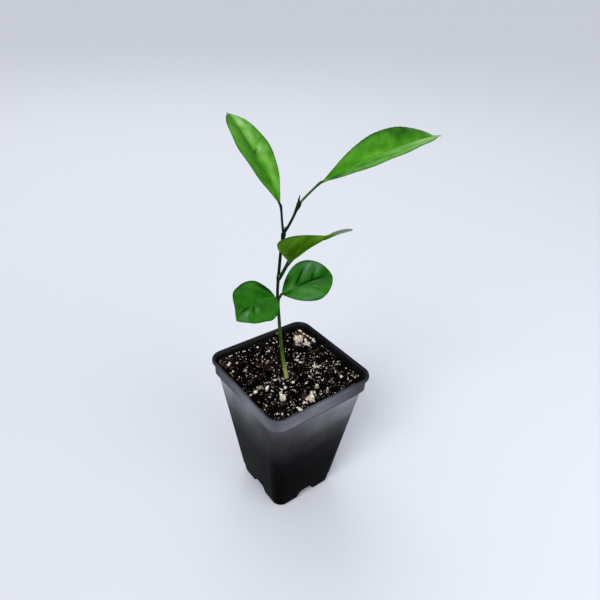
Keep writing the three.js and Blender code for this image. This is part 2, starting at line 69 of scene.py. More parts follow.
# Blades as in the source, but for slight changes to the outlines of the middle and the lower left one and to
# the stalks, which reach into their limb. The rest only the looks need. Pairs are for the right-hand and the
# left-hand half as the leaf points. Measures are in mm and degrees.
# arch: how far each half bulges up; lean: how far the veins run forward for each mm outwards; puff: how far
# the blade swells between them; groove: how deep they are pressed in; veins: where they leave the midrib, as
# shares of the length; tones: which of its palette's greens each half has, where the halves differ much the
# lighter one partly a painted sheen; rib_tone: how much lighter the midrib is; rib_depth: how deep it lies;
# valley: how much darker the blade is beside it, a painted shade of the fold; soft: how high and how far out
# the fold is rounded; wave, waves, phase: how the margin ripples; stalk, tip: colours of the stalk and of the
# last point; tip_share: where that starts, as a share of the length.
# marks: places on each half that stand out or lie deeper than the rest, each one with its place along and
# across, its half-length and half-width, the angle by which it turns outwards, how much lighter it is and
# how far it is pushed out. A mark's lightening is mostly painted sheen, and its darkening mostly painted
# shade.
LEAVES = {
    "leaf_upper_left": dict(
        root=(-6.6, -0.5, 161.2), petiole=(-6.2, 1, 165), petiole_half=(0.55, 0.5), base=(-5.35, 3.7, 172.15),
        azimuth=81.1, elevation=33.9, droop=5.1, bend=13.3, roll=16.1, twist=0.8, length=56.4,
        half_widths=(10.8, 11.15), fold=10.1, curl=2.1, shapes=((1.11, 0.8), (1.17, 0.59)),
        body=(0.985, 0.985), tail=0.05, arch=(0.7, 1), lean=0.75, puff=(0.06, 0.14), groove=(0.015, 0.02),
        veins=((0.12, 0.24, 0.36, 0.49, 0.61, 0.73, 0.84),
               (0.14, 0.27, 0.41, 0.54, 0.66, 0.77, 0.87)),
        palette="young", tones=(3, 3.85), rib_tone=-1.2, rib_depth=0.1, valley=0.6, soft=(0.5, 1.7), wave=0.2,
        waves=3.2, phase=0.3, stalk=(0.003, 0.014, 0.002), tip=(0.012, 0.016, 0.01), tip_share=0.974,
        marks=[[
            (37, 9.2, 15, 2.2, 0, 0.9, 0), (38, 2.8, 11, 1.8, 0, -1, 0), (22, 3.6, 7, 1.5, 3, -0.8, 0),
            (17, 5, 9, 4, 0, -0.7, 0),
        ], [
            (51, 2.4, 5.5, 2.2, 0, 1.9, 0), (43.5, 2.8, 5.5, 2.2, 4, 1.1, 0.05),
            (38, 2.4, 4, 1.7, 20, 1.1, 0.1), (28, 2.3, 4.5, 1.8, 12, 1, 0.06),
            (32.5, 3.9, 3.6, 2.2, 35, 1, 0.08), (22.5, 4.2, 5.5, 1.7, 12, 1.3, 0.12),
            (30.3, 0.6, 2.2, 0.7, 45, -2.4, -0.12), (36, 9.8, 17, 1.2, 0, -0.9, 0),
            (36, 5.4, 4, 0.7, 50, -0.9, -0.06), (26.5, 6.6, 4, 1.3, 40, -0.9, -0.06),
            (19, 0.9, 6, 0.7, 3, -1.2, -0.05), (12.5, 2.6, 4.5, 1.4, 5, 0.7, 0),
        ]],
    ),
    "leaf_upper_right": dict(
        root=(-1.6, -4.4, 174.6), petiole=(-0.1, -5.4, 176.9), petiole_half=(0.5, 0.5),
        base=(5.95, -9.45, 184.6), azimuth=-7.7, elevation=17.1, droop=18.4, bend=8.2, roll=16.7, twist=-16.6,
        length=69.7, half_widths=(12.2, 11.95), fold=17.3, curl=6.2, shapes=((1.13, 0.58), (0.97, 0.62)),
        body=(0.93, 0.93), tail=0.42, arch=(0.8, 0.6), lean=0.85, puff=(0.05, 0.2), groove=(0.015, 0.03),
        veins=((0.1, 0.2, 0.31, 0.42, 0.52, 0.63, 0.74, 0.84),
               (0.13, 0.25, 0.35, 0.46, 0.57, 0.67, 0.77, 0.86)),
        palette="young", tones=(2.65, 3.4), rib_tone=0.2, rib_depth=0, valley=-0.4, soft=(0.8, 2.8),
        wave=0.12, waves=4.3, phase=1.1, stalk=(0.026, 0.085, 0.008), tip=(0.35, 0.48, 0.27), tip_share=0.94,
        marks=[[
            (45.5, 5, 5.4, 1.8, 58, -0.7, -0.04), (51.5, 7, 5.4, 2, 52, -0.7, 0),
            (41, 10.6, 22, 1.2, 0, -0.9, 0), (31.5, 4.4, 7, 3, 35, 0.3, 0.06),
            (40.5, 5.8, 4.6, 1.1, 62, 0.7, 0.05), (30, 0.8, 9, 1.4, 2, 1, 0), (6, 1.6, 5, 1.4, 8, -1.2, 0),
            (60, 5.2, 6.5, 2.4, 0, -0.9, 0), (36, 6.6, 4.6, 1, 60, -0.7, -0.04), (14, 4, 9, 1.6, 12, 0.5, 0),
            (49, 7.6, 8, 3, 5, -1, 0),
        ], [
            (18.4, 3.3, 2.4, 1, 4, -1.7, 0), (26.2, 5.1, 2.3, 1, 4, -1.8, 0), (32.3, 7.4, 2, 0.8, 5, -1.2, 0),
            (40.1, 7.5, 2.8, 0.7, 5, -1, 0), (50, 4.6, 15, 3.8, 0, 2, 0.03), (44, 8.6, 9, 1.2, 2, 0.9, 0),
            (60, 2.6, 9, 2.2, 0, 1.4, 0), (29, 2.4, 6, 1.2, 4, 0.8, 0.03), (36, 10.4, 22, 0.9, 0, 1, 0),
            (5, 2.2, 5.5, 1.4, 5, -2.2, 0), (35.5, 5.8, 3, 1.3, 5, 1.1, 0.04), (24, 7.4, 4, 1, 5, 0.6, 0),
            (11, 2, 6, 3, 0, -0.7, 0),
        ]],
    ),
    "leaf_middle": dict(
        root=(-7.8, 0.4, 137.2), petiole=(-7.5, -2.4, 142.4), petiole_half=(1.05, 0.45),
        base=(-6.95, -5.9, 148.8), azimuth=-27, elevation=39.5, droop=24, bend=-10.1, roll=32.8, twist=4.5,
        length=31.9, half_widths=(11.1, 10.75), fold=55.2, curl=6.2, shapes=((0.21, 1.23), (0.44, 1.03)),
        body=(0.72, 0.59), tail=0.55, arch=(0.35, 0.3), lean=1.1, puff=(0.14, 0.1), groove=(0.02, 0.02),
        veins=((0.1, 0.24, 0.38, 0.52),
               (0.12, 0.24, 0.36, 0.48)),
        palette="olive", tones=(3.2, 2.9), rib_tone=-0.4, rib_depth=0.1, valley=0.6, soft=(0.5, 1.7),
        # The pale grey tip, and the pale mark at 25 mm on each half, are a painted reflection on the tail.
        wave=0.12, waves=2.4, phase=0, stalk=(0.006, 0.03, 0.002), tip=(0.15, 0.22, 0.12), tip_share=0.76,
        marks=[[
            (9.3, 6.2, 3.4, 1.2, 5, 1.3, 0.05), (3, 3.6, 2.6, 1.6, 30, -1.3, 0),
            (13.8, 4.6, 3.4, 1.2, -5, -0.4, -0.05), (9, 3.4, 5.5, 0.5, 8, -0.6, -0.05),
            (20, 1.4, 4.5, 0.9, 0, 1, 0), (12.5, 3, 4, 1.6, -5, 0.7, 0), (2.6, 9.2, 1.6, 1, 60, -0.6, 0),
            (14, 2.2, 4, 0.8, -4, 0.6, 0), (5, 7.4, 3.5, 0.5, 12, -0.8, 0), (25, 0.5, 3.5, 4, 0, 2.6, 0),
        ], [
            (25, 0.5, 3.5, 4, 0, 2.6, 0),
        ]],
    ),
    "leaf_lower_right": dict(
        root=(-8, 0.5, 124.9), petiole=(-7.75, -0.5, 128), petiole_half=(0.62, 0.5),
        base=(-7.42, -1.5, 129.95), azimuth=-18.5, elevation=22.9, droop=17.5, bend=-4.4, roll=24.6, twist=-4,
        length=25.9, half_widths=(11.95, 12.15), fold=5.3, curl=5.2, shapes=((0.95, 0.69), (0.94, 0.69)),
        body=(1, 1), tail=0, arch=(0.5, 0.6), lean=0.8, puff=(0.3, 0.08), groove=(0.06, 0.02),
        veins=((0.04, 0.29, 0.58, 0.82),
               (0.1, 0.36, 0.6, 0.8)),
        palette="old", tones=(2.8, 2.7), rib_tone=-1, rib_depth=0.1, valley=0.5, soft=(0.5, 1.7), wave=0.15,
        waves=2.2, phase=0.6, stalk=(0.014, 0.055, 0.005), tip=(0.014, 0.08, 0.006),
        marks=[[
            (11.3, 4.7, 5.2, 0.4, 45, -3.8, -0.34), (10.5, 5.7, 4.6, 0.9, 45, -0.8, -0.1),
            (14.6, 5.8, 4.4, 1.8, 48, 2.7, 0.28), (17.2, 3.3, 3.5, 0.34, 55, -3.2, -0.28),
            (20.2, 5.4, 3.8, 1.8, 50, 2.7, 0.22), (22.4, 2.2, 3, 1.4, 15, -1.2, 0),
            (4.4, 5.4, 4.6, 1.2, 42, -1.9, -0.08), (9, 8.4, 4.6, 1.5, 48, 1.7, 0.12),
            (14.5, 0.5, 6.5, 0.5, 1, -2.6, -0.12), (16.5, 9, 5.5, 1.5, 10, 1.6, 0),
            (8, 3.6, 4.2, 0.9, 45, 1.1, 0.08), (4.5, 0.3, 3.6, 0.5, 0, 2.2, 0.08),
        ], [
            (15.4, 2.3, 2, 0.4, 6, -2.1, -0.12), (17.4, 4.1, 1.2, 0.4, 50, -1.8, -0.1),
            (15.7, 5.2, 2.4, 0.42, 50, -1.9, -0.12), (15.9, 4.3, 1.8, 0.6, 30, 1.7, 0.1),
            (10.4, 5.6, 7, 3.6, 15, 1.6, 0), (2.2, 1, 2.6, 0.9, 5, -2.2, 0), (20.5, 7, 4.6, 2.6, 10, 0.7, 0),
            (13, 9.9, 6, 1.3, 5, 1.9, 0), (4.5, 0.3, 3.6, 0.5, 0, 1.6, 0.05),
        ]],
    ),
    "leaf_lower_left": dict(
        root=(-8, 0.6, 125.7), petiole=(-8.9, 0.25, 126.9), petiole_half=(0.62, 0.5),
        base=(-9.55, -0.12, 127.75), azimuth=-180, elevation=9.8, droop=14, bend=36.6, roll=-18.5,
        twist=-18.3, length=29.2, half_widths=(11.3, 12.1), fold=6.8, curl=7.6,
        shapes=((0.62, 0.8), (0.58, 1.09)), body=(1, 1), tail=0.1, lobe=(1, 0.66, 0.11, 0.11),
        arch=(0.5, 0.5), lean=0.6, puff=(0.06, 0.05), groove=(0.015, 0.01),
        veins=((0.08, 0.27, 0.48, 0.68, 0.84),
               (0.1, 0.3, 0.5, 0.7, 0.86)),
        palette="old", tones=(2.85, 2.75), rib_tone=0.7, rib_depth=0.02, valley=0.1, soft=(0.5, 1.7),
        wave=0.3, waves=3, phase=2, stalk=(0.016, 0.065, 0.005), tip=(0.014, 0.08, 0.006),
        marks=[[
            (16.9, 2, 2.6, 0.45, 33, -2.8, -0.2), (15.8, 3.4, 2.4, 1, 35, 2, 0.16),
            (20.9, 1.7, 2.2, 0.7, 20, 2.1, 0.1), (24, 1.6, 3.4, 2.4, 0, 2.2, 0),
            (22.4, 3, 1.8, 0.5, 30, -2, -0.12), (8.4, 2.4, 3.2, 0.6, 45, -1, -0.06),
            (14, 8.6, 4.2, 2, 10, 0.6, 0), (7.2, 6.2, 3.8, 1.8, 40, 0.6, 0), (21.3, 7, 5, 1, 5, 0.5, 0),
            (24.2, 1.2, 1.2, 0.3, 40, -1.2, -0.06),
        ], [
            (20.2, 0.5, 3, 0.6, 2, -2.2, -0.1), (7, 0.8, 5, 0.5, 5, 1.5, 0.04), (7.6, 4, 5, 2.2, 15, -0.7, 0),
            (2.6, 5.8, 5.4, 1.1, 48, -2.9, 0), (14.6, 6.4, 5, 3, 10, 0.6, 0), (9, 9.9, 4, 0.9, 5, 0.6, 0),
            (23.5, 1.6, 2.4, 0.6, 10, 0.9, 0.05),
        ]],
    ),
}
# How a blade's droop grows towards its tip.
DROOP_POWER = 1.5

# Greens for each age of leaf, from the darkest, used for painted shade in valleys, to the palest, a painted
# sheen on swellings.
PALETTES = {
    "young": [
        (0.008, 0.062, 0.002), (0.018, 0.11, 0.003), (0.034, 0.172, 0.004), (0.054, 0.245, 0.007),
        (0.085, 0.325, 0.013), (0.155, 0.41, 0.065), (0.27, 0.5, 0.17),
    ],
    "olive": [
        (0.01, 0.047, 0.001), (0.019, 0.08, 0.001), (0.032, 0.112, 0.002), (0.047, 0.145, 0.003),
        (0.066, 0.178, 0.005), (0.09, 0.215, 0.01), (0.13, 0.26, 0.03),
    ],
    "old": [
        (0.004, 0.036, 0.001), (0.006, 0.062, 0.0015), (0.01, 0.098, 0.002), (0.018, 0.14, 0.004),
        (0.029, 0.17, 0.016), (0.054, 0.195, 0.054), (0.11, 0.255, 0.12),
    ],
}
# The greens differ in gloss too.
TONE_SPECULAR = (0.03, 0.05, 0.08, 0.12, 0.18, 0.28, 0.36)
# Steps into which each space between two of those greens is divided, and how many tones that makes.
TONE_STEPS = 2
TONES = 6 * TONE_STEPS + 1
# A leaf's material slots after its greens.
UNDER, UNDER_VEIN, TIP, STALK = range(TONES, TONES + 4)

# ---- materials


def add_node(tree, kind, inputs=(), **settings):
    """A new node. inputs gives sockets their values, or the outputs of other nodes to link to them."""
    node = tree.nodes.new("ShaderNode" + kind)
    for name, value in settings.items():
        setattr(node, name, value)
    for name, value in dict(inputs).items():
        if isinstance(value, bpy.types.NodeSocket):
            tree.links.new(value, node.inputs[name])
        else:
            node.inputs[name].default_value = value
    return node


def color_ramp(tree, value, stops):
    """Colours that follow a value, from stops of (value, colour)."""
    ramp = add_node(tree, "ValToRGB", {"Fac": value})
    elements = ramp.color_ramp.elements
    for at, _ in stops[1:-1]:
        elements.new(at)
    for element, (at, color) in zip(elements, stops):
        element.position = at
        element.color = (*color, 1)
    return ramp.outputs["Color"]


def find_shader(material):
    return next(n for n in material.node_tree.nodes if n.type == "BSDF_PRINCIPLED")


def principled(name, color, roughness, specular):
    """A node material with one colour."""
    material = bpy.data.materials.new(name)
    material.use_nodes = True
    shader = find_shader(material)
    shader.inputs["Base Color"].default_value = (*color, 1)
    shader.inputs["Roughness"].default_value = roughness
    shader.inputs["Specular IOR Level"].default_value = specular
    material.diffuse_color = (*color, 1)
    return material


# Where a mottled surface has its two colours, as values of its noise.
MOTTLE_LOW, MOTTLE_HIGH = 0.32, 0.68


def textured(name, low, high, roughness, color_scale, bumps, specular=0.5, rough_range=None):
    """A surface mottled between two colours, with one or more layers of bump.

    bumps holds (texture, scale, strength, distance); scales count repeats in a metre."""
    material = principled(name, [(a + b) / 2 for a, b in zip(low, high)], roughness, specular)
    shader, tree = find_shader(material), material.node_tree
    place = add_node(tree, "TexCoord").outputs["Object"]
    mottle = add_node(tree, "TexNoise", {"Vector": place, "Scale": color_scale, "Detail": 3.0}).outputs["Fac"]
    mixed = color_ramp(tree, mottle, [(MOTTLE_LOW, low), (MOTTLE_HIGH, high)])
    tree.links.new(mixed, shader.inputs["Base Color"])
    if rough_range:
        spread = {"Value": mottle, "To Min": rough_range[0], "To Max": rough_range[1]}
        tree.links.new(add_node(tree, "MapRange", spread).outputs["Result"], shader.inputs["Roughness"])
    below = {}
    for kind, scale, strength, distance in bumps:
        spots = {"Vector": place, "Scale": scale}
        if kind == "cells":
            height = add_node(tree, "TexVoronoi", spots, feature="DISTANCE_TO_EDGE").outputs["Distance"]
        else:
            height = add_node(tree, "TexNoise", {**spots, "Detail": 4.0}).outputs["Fac"]
        bump = add_node(tree, "Bump", {"Height": height, "Strength": strength, "Distance": distance, **below})
        below = {"Normal": bump.outputs["Normal"]}
    tree.links.new(below["Normal"], shader.inputs["Normal"])
    return material


def shade(color, factor, grey=0.0):
    """A colour made lighter or darker, and mixed towards its own grey."""
    mean = sum(color) / 3
    return tuple(factor * (c * (1 - grey) + mean * grey) for c in color)


def mottled(name, color, roughness, color_scale, bumps, specular=0.5, spread=(0.8, 1.2)):
    """A textured surface whose two colours are a darker and a lighter shade of one."""
    low, high = (shade(color, factor) for factor in spread)
    return textured(name, low, high, roughness, color_scale, bumps, specular)


def leaf_materials(name, palette):
    """A palette's materials: the tones of the upper side, then the under side and its veins."""
    cells = ("cells", 900, 0.2, 0.00012)
    grain = ("noise", 420, 0.22, 0.0003)
    places = np.arange(TONES) / TONE_STEPS
    colors = np.stack([np.interp(places, range(7), channel) for channel in zip(*palette)], axis=1)
    gloss = np.interp(places, range(7), TONE_SPECULAR)
    greens = [
        mottled(f"{name}_green_{k}", color, 0.38, 240, [grain, cells], float(gloss[k]), (0.88, 1.12))
        for k, color in enumerate(colors.tolist())
    ]
    middle = palette[3]
    under, vein = [(1.3, 0.35), (1.6, 0.4)], [(1.7, 0.35), (2.0, 0.35)]
    return [
        *greens,
        textured(name + "_under", *(shade(middle, *s) for s in under), 0.6, 150, [grain, cells], 0.25),
        textured(name + "_under_veins", *(shade(middle, *s) for s in vein), 0.5, 300, [grain], 0.3),
    ]


# ---- meshes


def add_object(name, data):
    thing = bpy.data.objects.new(name, data)
    bpy.context.scene.collection.objects.link(thing)
    return thing


def mesh_object(name, points, faces):
    """Points in millimetres become an object."""
    mesh = bpy.data.meshes.new(name)
    mesh.from_pydata([tuple(p) for p in np.asarray(points, float) * MM], [], faces)
    return add_object(name, mesh)


def make_object(name, points, faces, materials, slots=None, smooth=True, replaced=()):
    """A piece that rides on the plant's body. slots: the number of each face's material."""
    thing = mesh_object(name, points, faces)
    mesh = thing.data
    for material in materials:
        mesh.materials.append(material)
    if slots is not None:
        mesh.polygons.foreach_set("material_index", np.asarray(slots, np.int32))
    mesh.polygons.foreach_set("use_smooth", np.full(len(mesh.polygons), smooth))
    mesh.validate()
    mesh.update()
    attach(thing, "root")
    if replaced:
        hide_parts(*replaced)


def skin(ring_count, ring_size, first=0):
    """Quads between rings of points, with the end rings closed by one face each."""
    faces = []
    for ring in range(ring_count - 1):
        for j in range(ring_size):
            a = first + ring * ring_size + j
            b = first + ring * ring_size + (j + 1) % ring_size
            faces.append((a, b, b + ring_size, a + ring_size))
    last = first + (ring_count - 1) * ring_size
    faces.append(tuple(range(first + ring_size - 1, first - 1, -1)))
    faces.append(tuple(range(last, last + ring_size)))
    return faces


def curve_points(points, count):
    """Evenly spaced places along a centripetal Catmull-Rom curve, with their tangents."""
    path = np.asarray(points, float)
    path = np.vstack([2 * path[0] - path[1], path, 2 * path[-1] - path[-2]])
    dense = []
    for first in range(len(path) - 3):
        layer = path[first : first + 4]
        knots = np.cumsum([0, *np.linalg.norm(np.diff(layer, axis=0), axis=1) ** 0.5])
        t = np.linspace(knots[1], knots[2], 60, endpoint=first == len(path) - 4)[:, None]
        for spans in [(0, 1), (1, 2), (2, 3)], [(0, 2), (1, 3)], [(1, 2)]:
            layer = [
                (a * (knots[end] - t) + b * (t - knots[start])) / (knots[end] - knots[start])
                for a, b, (start, end) in zip(layer, layer[1:], spans)
            ]
        dense.append(layer[0])
    dense = np.vstack(dense)
    run = np.concatenate([[0], np.cumsum(np.linalg.norm(np.diff(dense, axis=0), axis=1))])
    even = np.linspace(0, run[-1], count + 1)
    places = np.stack([np.interp(even, run, dense[:, k]) for k in range(3)], axis=1)
    tangents = np.gradient(places, axis=0)
    return places, tangents / np.linalg.norm(tangents, axis=1)[:, None]


def ring_angles(count):
    return 2 * np.pi * np.arange(count) / count


def limb(points, radii, count, sides, reference=(0, -1, 0), first=0):
    """A limb's points and faces. radii(shares, places, angles) gives its half-widths and half-depths."""
    places, tangents = curve_points(points, count)
    side = np.cross(tangents, reference)
    side /= np.linalg.norm(side, axis=1)[:, None]
    front = np.cross(side, tangents)
    angles = ring_angles(sides)
    wide, deep = radii(np.linspace(0, 1, count + 1)[:, None], places, angles[None, :])
    across = side[:, None] * (wide * np.cos(angles))[..., None]
    rings = places[:, None] + across + front[:, None] * (deep * np.sin(angles))[..., None]
    return rings.reshape(-1, 3), skin(count + 1, sides, first)


def smoothstep(x, low, high):
    t = np.clip((x - low) / (high - low), 0, 1)
    return t * t * (3 - 2 * t)


def bell(x, middle, reach):
    return np.exp(-(((x - middle) / reach) ** 2))


# ---- stem, shoot and buds

# Colours of the stem from its foot up, and the heights at which each gives way to the next.
STEM_COLORS = [
    (0.29, 0.3, 0.1), (0.33, 0.37, 0.09), (0.17, 0.235, 0.035), (0.06, 0.115, 0.014), (0.034, 0.082, 0.008),
    (0.028, 0.075, 0.006), (0.017, 0.052, 0.004), (0.009, 0.031, 0.003), (0.004, 0.018, 0.002),
    (0.002, 0.01, 0.001),
]
STEM_EDGES = (80.5, 86, 90, 97, 104, 111, 118, 127, 140)
# Heights of the low scars that ring the stem.
STEM_SCARS = (84.5, 91.0, 99.5, 112.5)
# The side shoot: heights of its foot and its upper end, between which it narrows and widens again, and of the
# end bud that stands on it; half-widths of the foot and the bud.
SHOOT = dict(foot=160.9, end=175.0, bud_foot=175.4, bud_tip=179.0, half=0.7, bud_half=0.52)
SHOOT_COLOR = (0.003, 0.013, 0.0015)
RIND_GRAIN = [("noise", 900, 0.4, 0.0004)]
# Buds in the leaf axils, and the pale seed-leaf scar low on the stem: place, radii, azimuth, tilt, material.
BUDS = [
    ((-8.2, -0.3, 139.5), (0.42, 0.42, 0.95), -110, 12, 0),
    ((-7.15, -0.35, 127.9), (0.45, 0.45, 0.85), -40, 20, 0),
    ((-7.85, 0.85, 106.2), (0.5, 0.45, 0.6), 142, -25, 1),
    ((-0.75, -5.15, 176.3), (0.42, 0.42, 0.9), -60, 25, 0),
    ((-5.75, -0.75, 162.9), (0.42, 0.42, 0.9), 60, 15, 0),
]
# The colour and roughness of their two materials.
BUD_TINTS = {"bud_green": ((0.07, 0.2, 0.02), 0.5), "bud_pale": ((0.16, 0.28, 0.06), 0.55)}


def stem_radius(z):
    """The source's radius of the stem at a height."""
    foot = SOIL_TOP + CLEARANCE
    share = (z - foot) / (STEM["top"] - foot)
    radius = STEM["foot_radius"] + (STEM["top_radius"] - STEM["foot_radius"]) * np.minimum(1, 1.6 * share)
    radius = radius + STEM["flare"] * np.exp(-np.maximum(z - SOIL_TOP, 0) / STEM["flare_reach"])
    for height, swell, reach in STEM_NODES:
        radius = radius + swell * bell(z, height, reach)
    return radius


def bark(angles, z, ridges, depth):
    """Relief of the rind: shallow ridges that run up the limb, and a fine unevenness."""
    turn = ridges * angles + 0.8 * np.sin(0.13 * z) + 0.35 * np.sin(0.41 * z + 1.7)
    fine = np.sin(23 * angles + 0.9 * z) * np.sin(2.3 * z + 5 * angles)
    return depth * (0.75 * np.sin(turn) + 0.35 * np.sin(2 * turn + 0.05 * z) + 0.25 * fine)


def make_stem():
    def radii(shares, places, angles):
        z = places[:, 2:3]
        low = 1 - smoothstep(z, 84, 112)
        radius = stem_radius(z) + 0.1 * smoothstep(z, 90, 125) - 0.02 + bark(angles, z, 5, 0.03 + 0.04 * low)
        for scar in STEM_SCARS:
            radius = radius + 0.05 * bell(z, scar, 0.35)
        return radius, radius

    points, faces = limb(STEM_PATH, radii, count=300, sides=28)
    materials = [mottled(f"stem_green_{k}", c, 0.45, 260, RIND_GRAIN, 0.1) for k, c in enumerate(STEM_COLORS)]
    heights = np.array([points[list(face)][:, 2].mean() for face in faces])
    wander = np.array([1.6 * math.sin(1.7 * face[0]) for face in faces])
    slots = np.searchsorted(STEM_EDGES, heights + wander)
    make_object("stem_bark", points, faces, materials, slots, replaced=["stem"])


def make_shoot():
    def radii(shares, places, angles):
        z = places[:, 2:3]
        rise = np.clip((z - SHOOT["foot"]) / (SHOOT["end"] - SHOOT["foot"]), 0, 1)
        green = SHOOT["half"] - 0.16 * np.sin(np.pi * np.minimum(rise * 1.15, 1))
        green = green + 0.36 * smoothstep(z, 171.0, SHOOT["end"])
        taper = np.clip((z - SHOOT["bud_foot"]) / (SHOOT["bud_tip"] - SHOOT["bud_foot"]), 0, 1)
        bud = SHOOT["bud_half"] - 0.44 * taper**1.4
        over = smoothstep(z, 175.1, 176.2)
        radius = green * (1 - over) + bud * over + 0.03 + bark(angles, z, 3, 0.03)
        return radius, radius

    points, faces = limb(SHOOT_PATH, radii, count=120, sides=24)
    material = mottled("shoot_green", SHOOT_COLOR, 0.42, 260, RIND_GRAIN, 0.08, (0.8, 1.3))
    make_object("shoot_bark", points, faces, [material], replaced=["upper_shoot"])


def bud_points(at, radii, azimuth, tilt, count, sides):
    """Rings of a bud: an upright egg, turned out by tilt degrees towards the azimuth."""
    angles = ring_angles(sides)
    u = np.linspace(0, np.pi, count)[:, None]
    width = np.sin(u) ** 0.9
    upright = -radii[2] * np.cos(u) + 0 * angles
    rings = np.stack([radii[0] * width * np.cos(angles), radii[1] * width * np.sin(angles), upright], axis=-1)
    turn = Matrix.Rotation(math.radians(azimuth), 3, "Z") @ Matrix.Rotation(math.radians(tilt), 3, "Y")
    return rings.reshape(-1, 3) @ np.array(turn).T + np.array(at)


def make_buds():
    count, sides = 14, 16
    points, faces, slots = [], [], []
    for number, (at, radii, azimuth, tilt, slot) in enumerate(BUDS):
        points.append(bud_points(at, radii, azimuth, tilt, count, sides))
        added = skin(count, sides, number * count * sides)
        faces += added
        slots += [slot] * len(added)
    grain = [("noise", 1500, 0.3, 0.0003)]
    materials = [mottled(name, *tint, 500, grain) for name, tint in BUD_TINTS.items()]
    make_object("axil_buds", np.vstack(points), faces, materials, slots)


# ---- leaves

# A blade's mesh: columns in each half, least number of stations and mm between them.
BLADE_COLUMNS = 30
BLADE_STATIONS = 110
STATION_STEP = 0.3
# Half a blade's thickness beside the midrib, and the least half-width, in mm.
HALF_THICKNESS = 0.17
LEAST_HALF = 0.16


def outline(leaf, hand, share):
    """The half-width of one half at a share of the length, as a part of its greatest half-width."""
    base, tip = leaf["shapes"][hand]
    widest = base / (base + tip)
    along = np.clip(share / leaf["body"][hand], 0, 1)
    main = (along / widest) ** base * ((1 - along) / (1 - widest)) ** tip
    point = leaf["tail"] * share**2 * np.maximum(1 - share, 0) ** 0.6
    lobed, at, reach, rise = leaf.get("lobe", (None, 0, 1, 0))
    return (main**4 + point**4) ** 0.25 + (rise * bell(share, at, reach) if lobed == hand else 0)


def midrib(leaf, count):
    """Shares, places, sideways and upward directions along the midrib."""
    step = np.arange(count + 1) / count
    share = 0.65 * step + 0.35 * (1 - np.cos(np.pi * step)) / 2

    def direction(s):
        elevation = np.radians(leaf["elevation"] - leaf["droop"] * s**DROOP_POWER)
        azimuth = np.radians(leaf["azimuth"] + leaf["bend"] * s)
        level = np.cos(elevation)
        return np.stack([level * np.cos(azimuth), level * np.sin(azimuth), np.sin(elevation)], axis=1)

    middle = (share[1:] + share[:-1]) / 2
    moves = direction(middle) * (leaf["length"] * np.diff(share))[:, None]
    places = np.array(leaf["base"]) + np.vstack([np.zeros(3), np.cumsum(moves, axis=0)])
    along = direction(share)
    level = np.cross(along, (0, 0, 1))
    level /= np.linalg.norm(level, axis=1)[:, None]
    above = np.cross(level, along)
    roll = np.radians(leaf["roll"] + leaf["twist"] * share)[:, None]
    side = level * np.cos(roll) - above * np.sin(roll)
    up = level * np.sin(roll) + above * np.cos(roll)
    return share, places, side, up


def relief(leaf, hand, along, across, reach):
    """How far each place is pushed out, how near it is to a vein and the midrib, how much lighter it is,
    which paints sheen on swellings and shade in hollows.
    """
    leaving = along - leaf["lean"] * across - 0.018 * across**2
    starts = np.array(leaf["veins"][hand]) * leaf["length"]
    away = np.min(np.abs(leaving[:, None] - starts), axis=1) * 0.8
    swell = np.sin(np.clip(away / (0.4 * np.diff(starts).mean()), 0, 1) * np.pi / 2)
    fade = (1 - smoothstep(reach, 0.72, 0.98)) * smoothstep(across, 0.3, 1.8)
    near = fade * bell(away, 0, 0.3)
    rib = bell(across, 0, 0.5 * (1 - 0.6 * along / leaf["length"]))
    between = leaf["puff"][hand] * fade * (swell - 0.6)
    push = between - leaf["groove"][hand] * near - leaf["rib_depth"] * rib
    lighter = np.zeros_like(along)
    for at, out, half_length, half_width, turn, tone, rise in leaf["marks"][hand]:
        turned = math.radians(turn)
        run = (along - at) * math.cos(turned) + (across - out) * math.sin(turned)
        aside = (across - out) * math.cos(turned) - (along - at) * math.sin(turned)
        mark = np.exp(-((run / half_length) ** 4) - (aside / half_width) ** 2)
        push = push + rise * mark
        lighter = lighter + tone * mark
    # The swellings between the veins are painted lighter and the blade beside the veins darker: painted
    # highlight and shade.
    return push, near, rib, lighter + 1.7 * between


def tone_field(leaf, hand, along, across, reach, near, rib, lighter):
    """Which green of the palette each place has, as a number from 0 to 6, with painted sheen and shade in it.
    """
    blotch = np.sin(0.55 * along + 1.3 * np.sin(0.5 * across) + hand)
    blotch = blotch * np.sin(0.6 * across - 0.25 * along + 2 * hand)
    fleck = np.sin(2.9 * along + 1.1 * across) * np.sin(2.3 * across - 1.7 * along)
    # Painted shade beside the fold of the midrib.
    valley = bell(across, 0, 1.5) * (1 - 0.5 * along / leaf["length"])
    return (
        leaf["tones"][hand] + 0.45 * blotch + 0.2 * fleck - leaf["valley"] * valley + leaf["rib_tone"] * rib
        # Darker towards the margin: partly the blade's own dark rim, partly painted shade where the margin
        # turns down.
        - 2.1 * smoothstep(reach, 0.91, 1.0)
        # Darker in the pressed-in veins: painted shade.
        - 1.4 * near * min(1, 6 * leaf["groove"][hand])
        # Painted sheen and shade of the swellings, hollows and marks.
        + lighter
    )


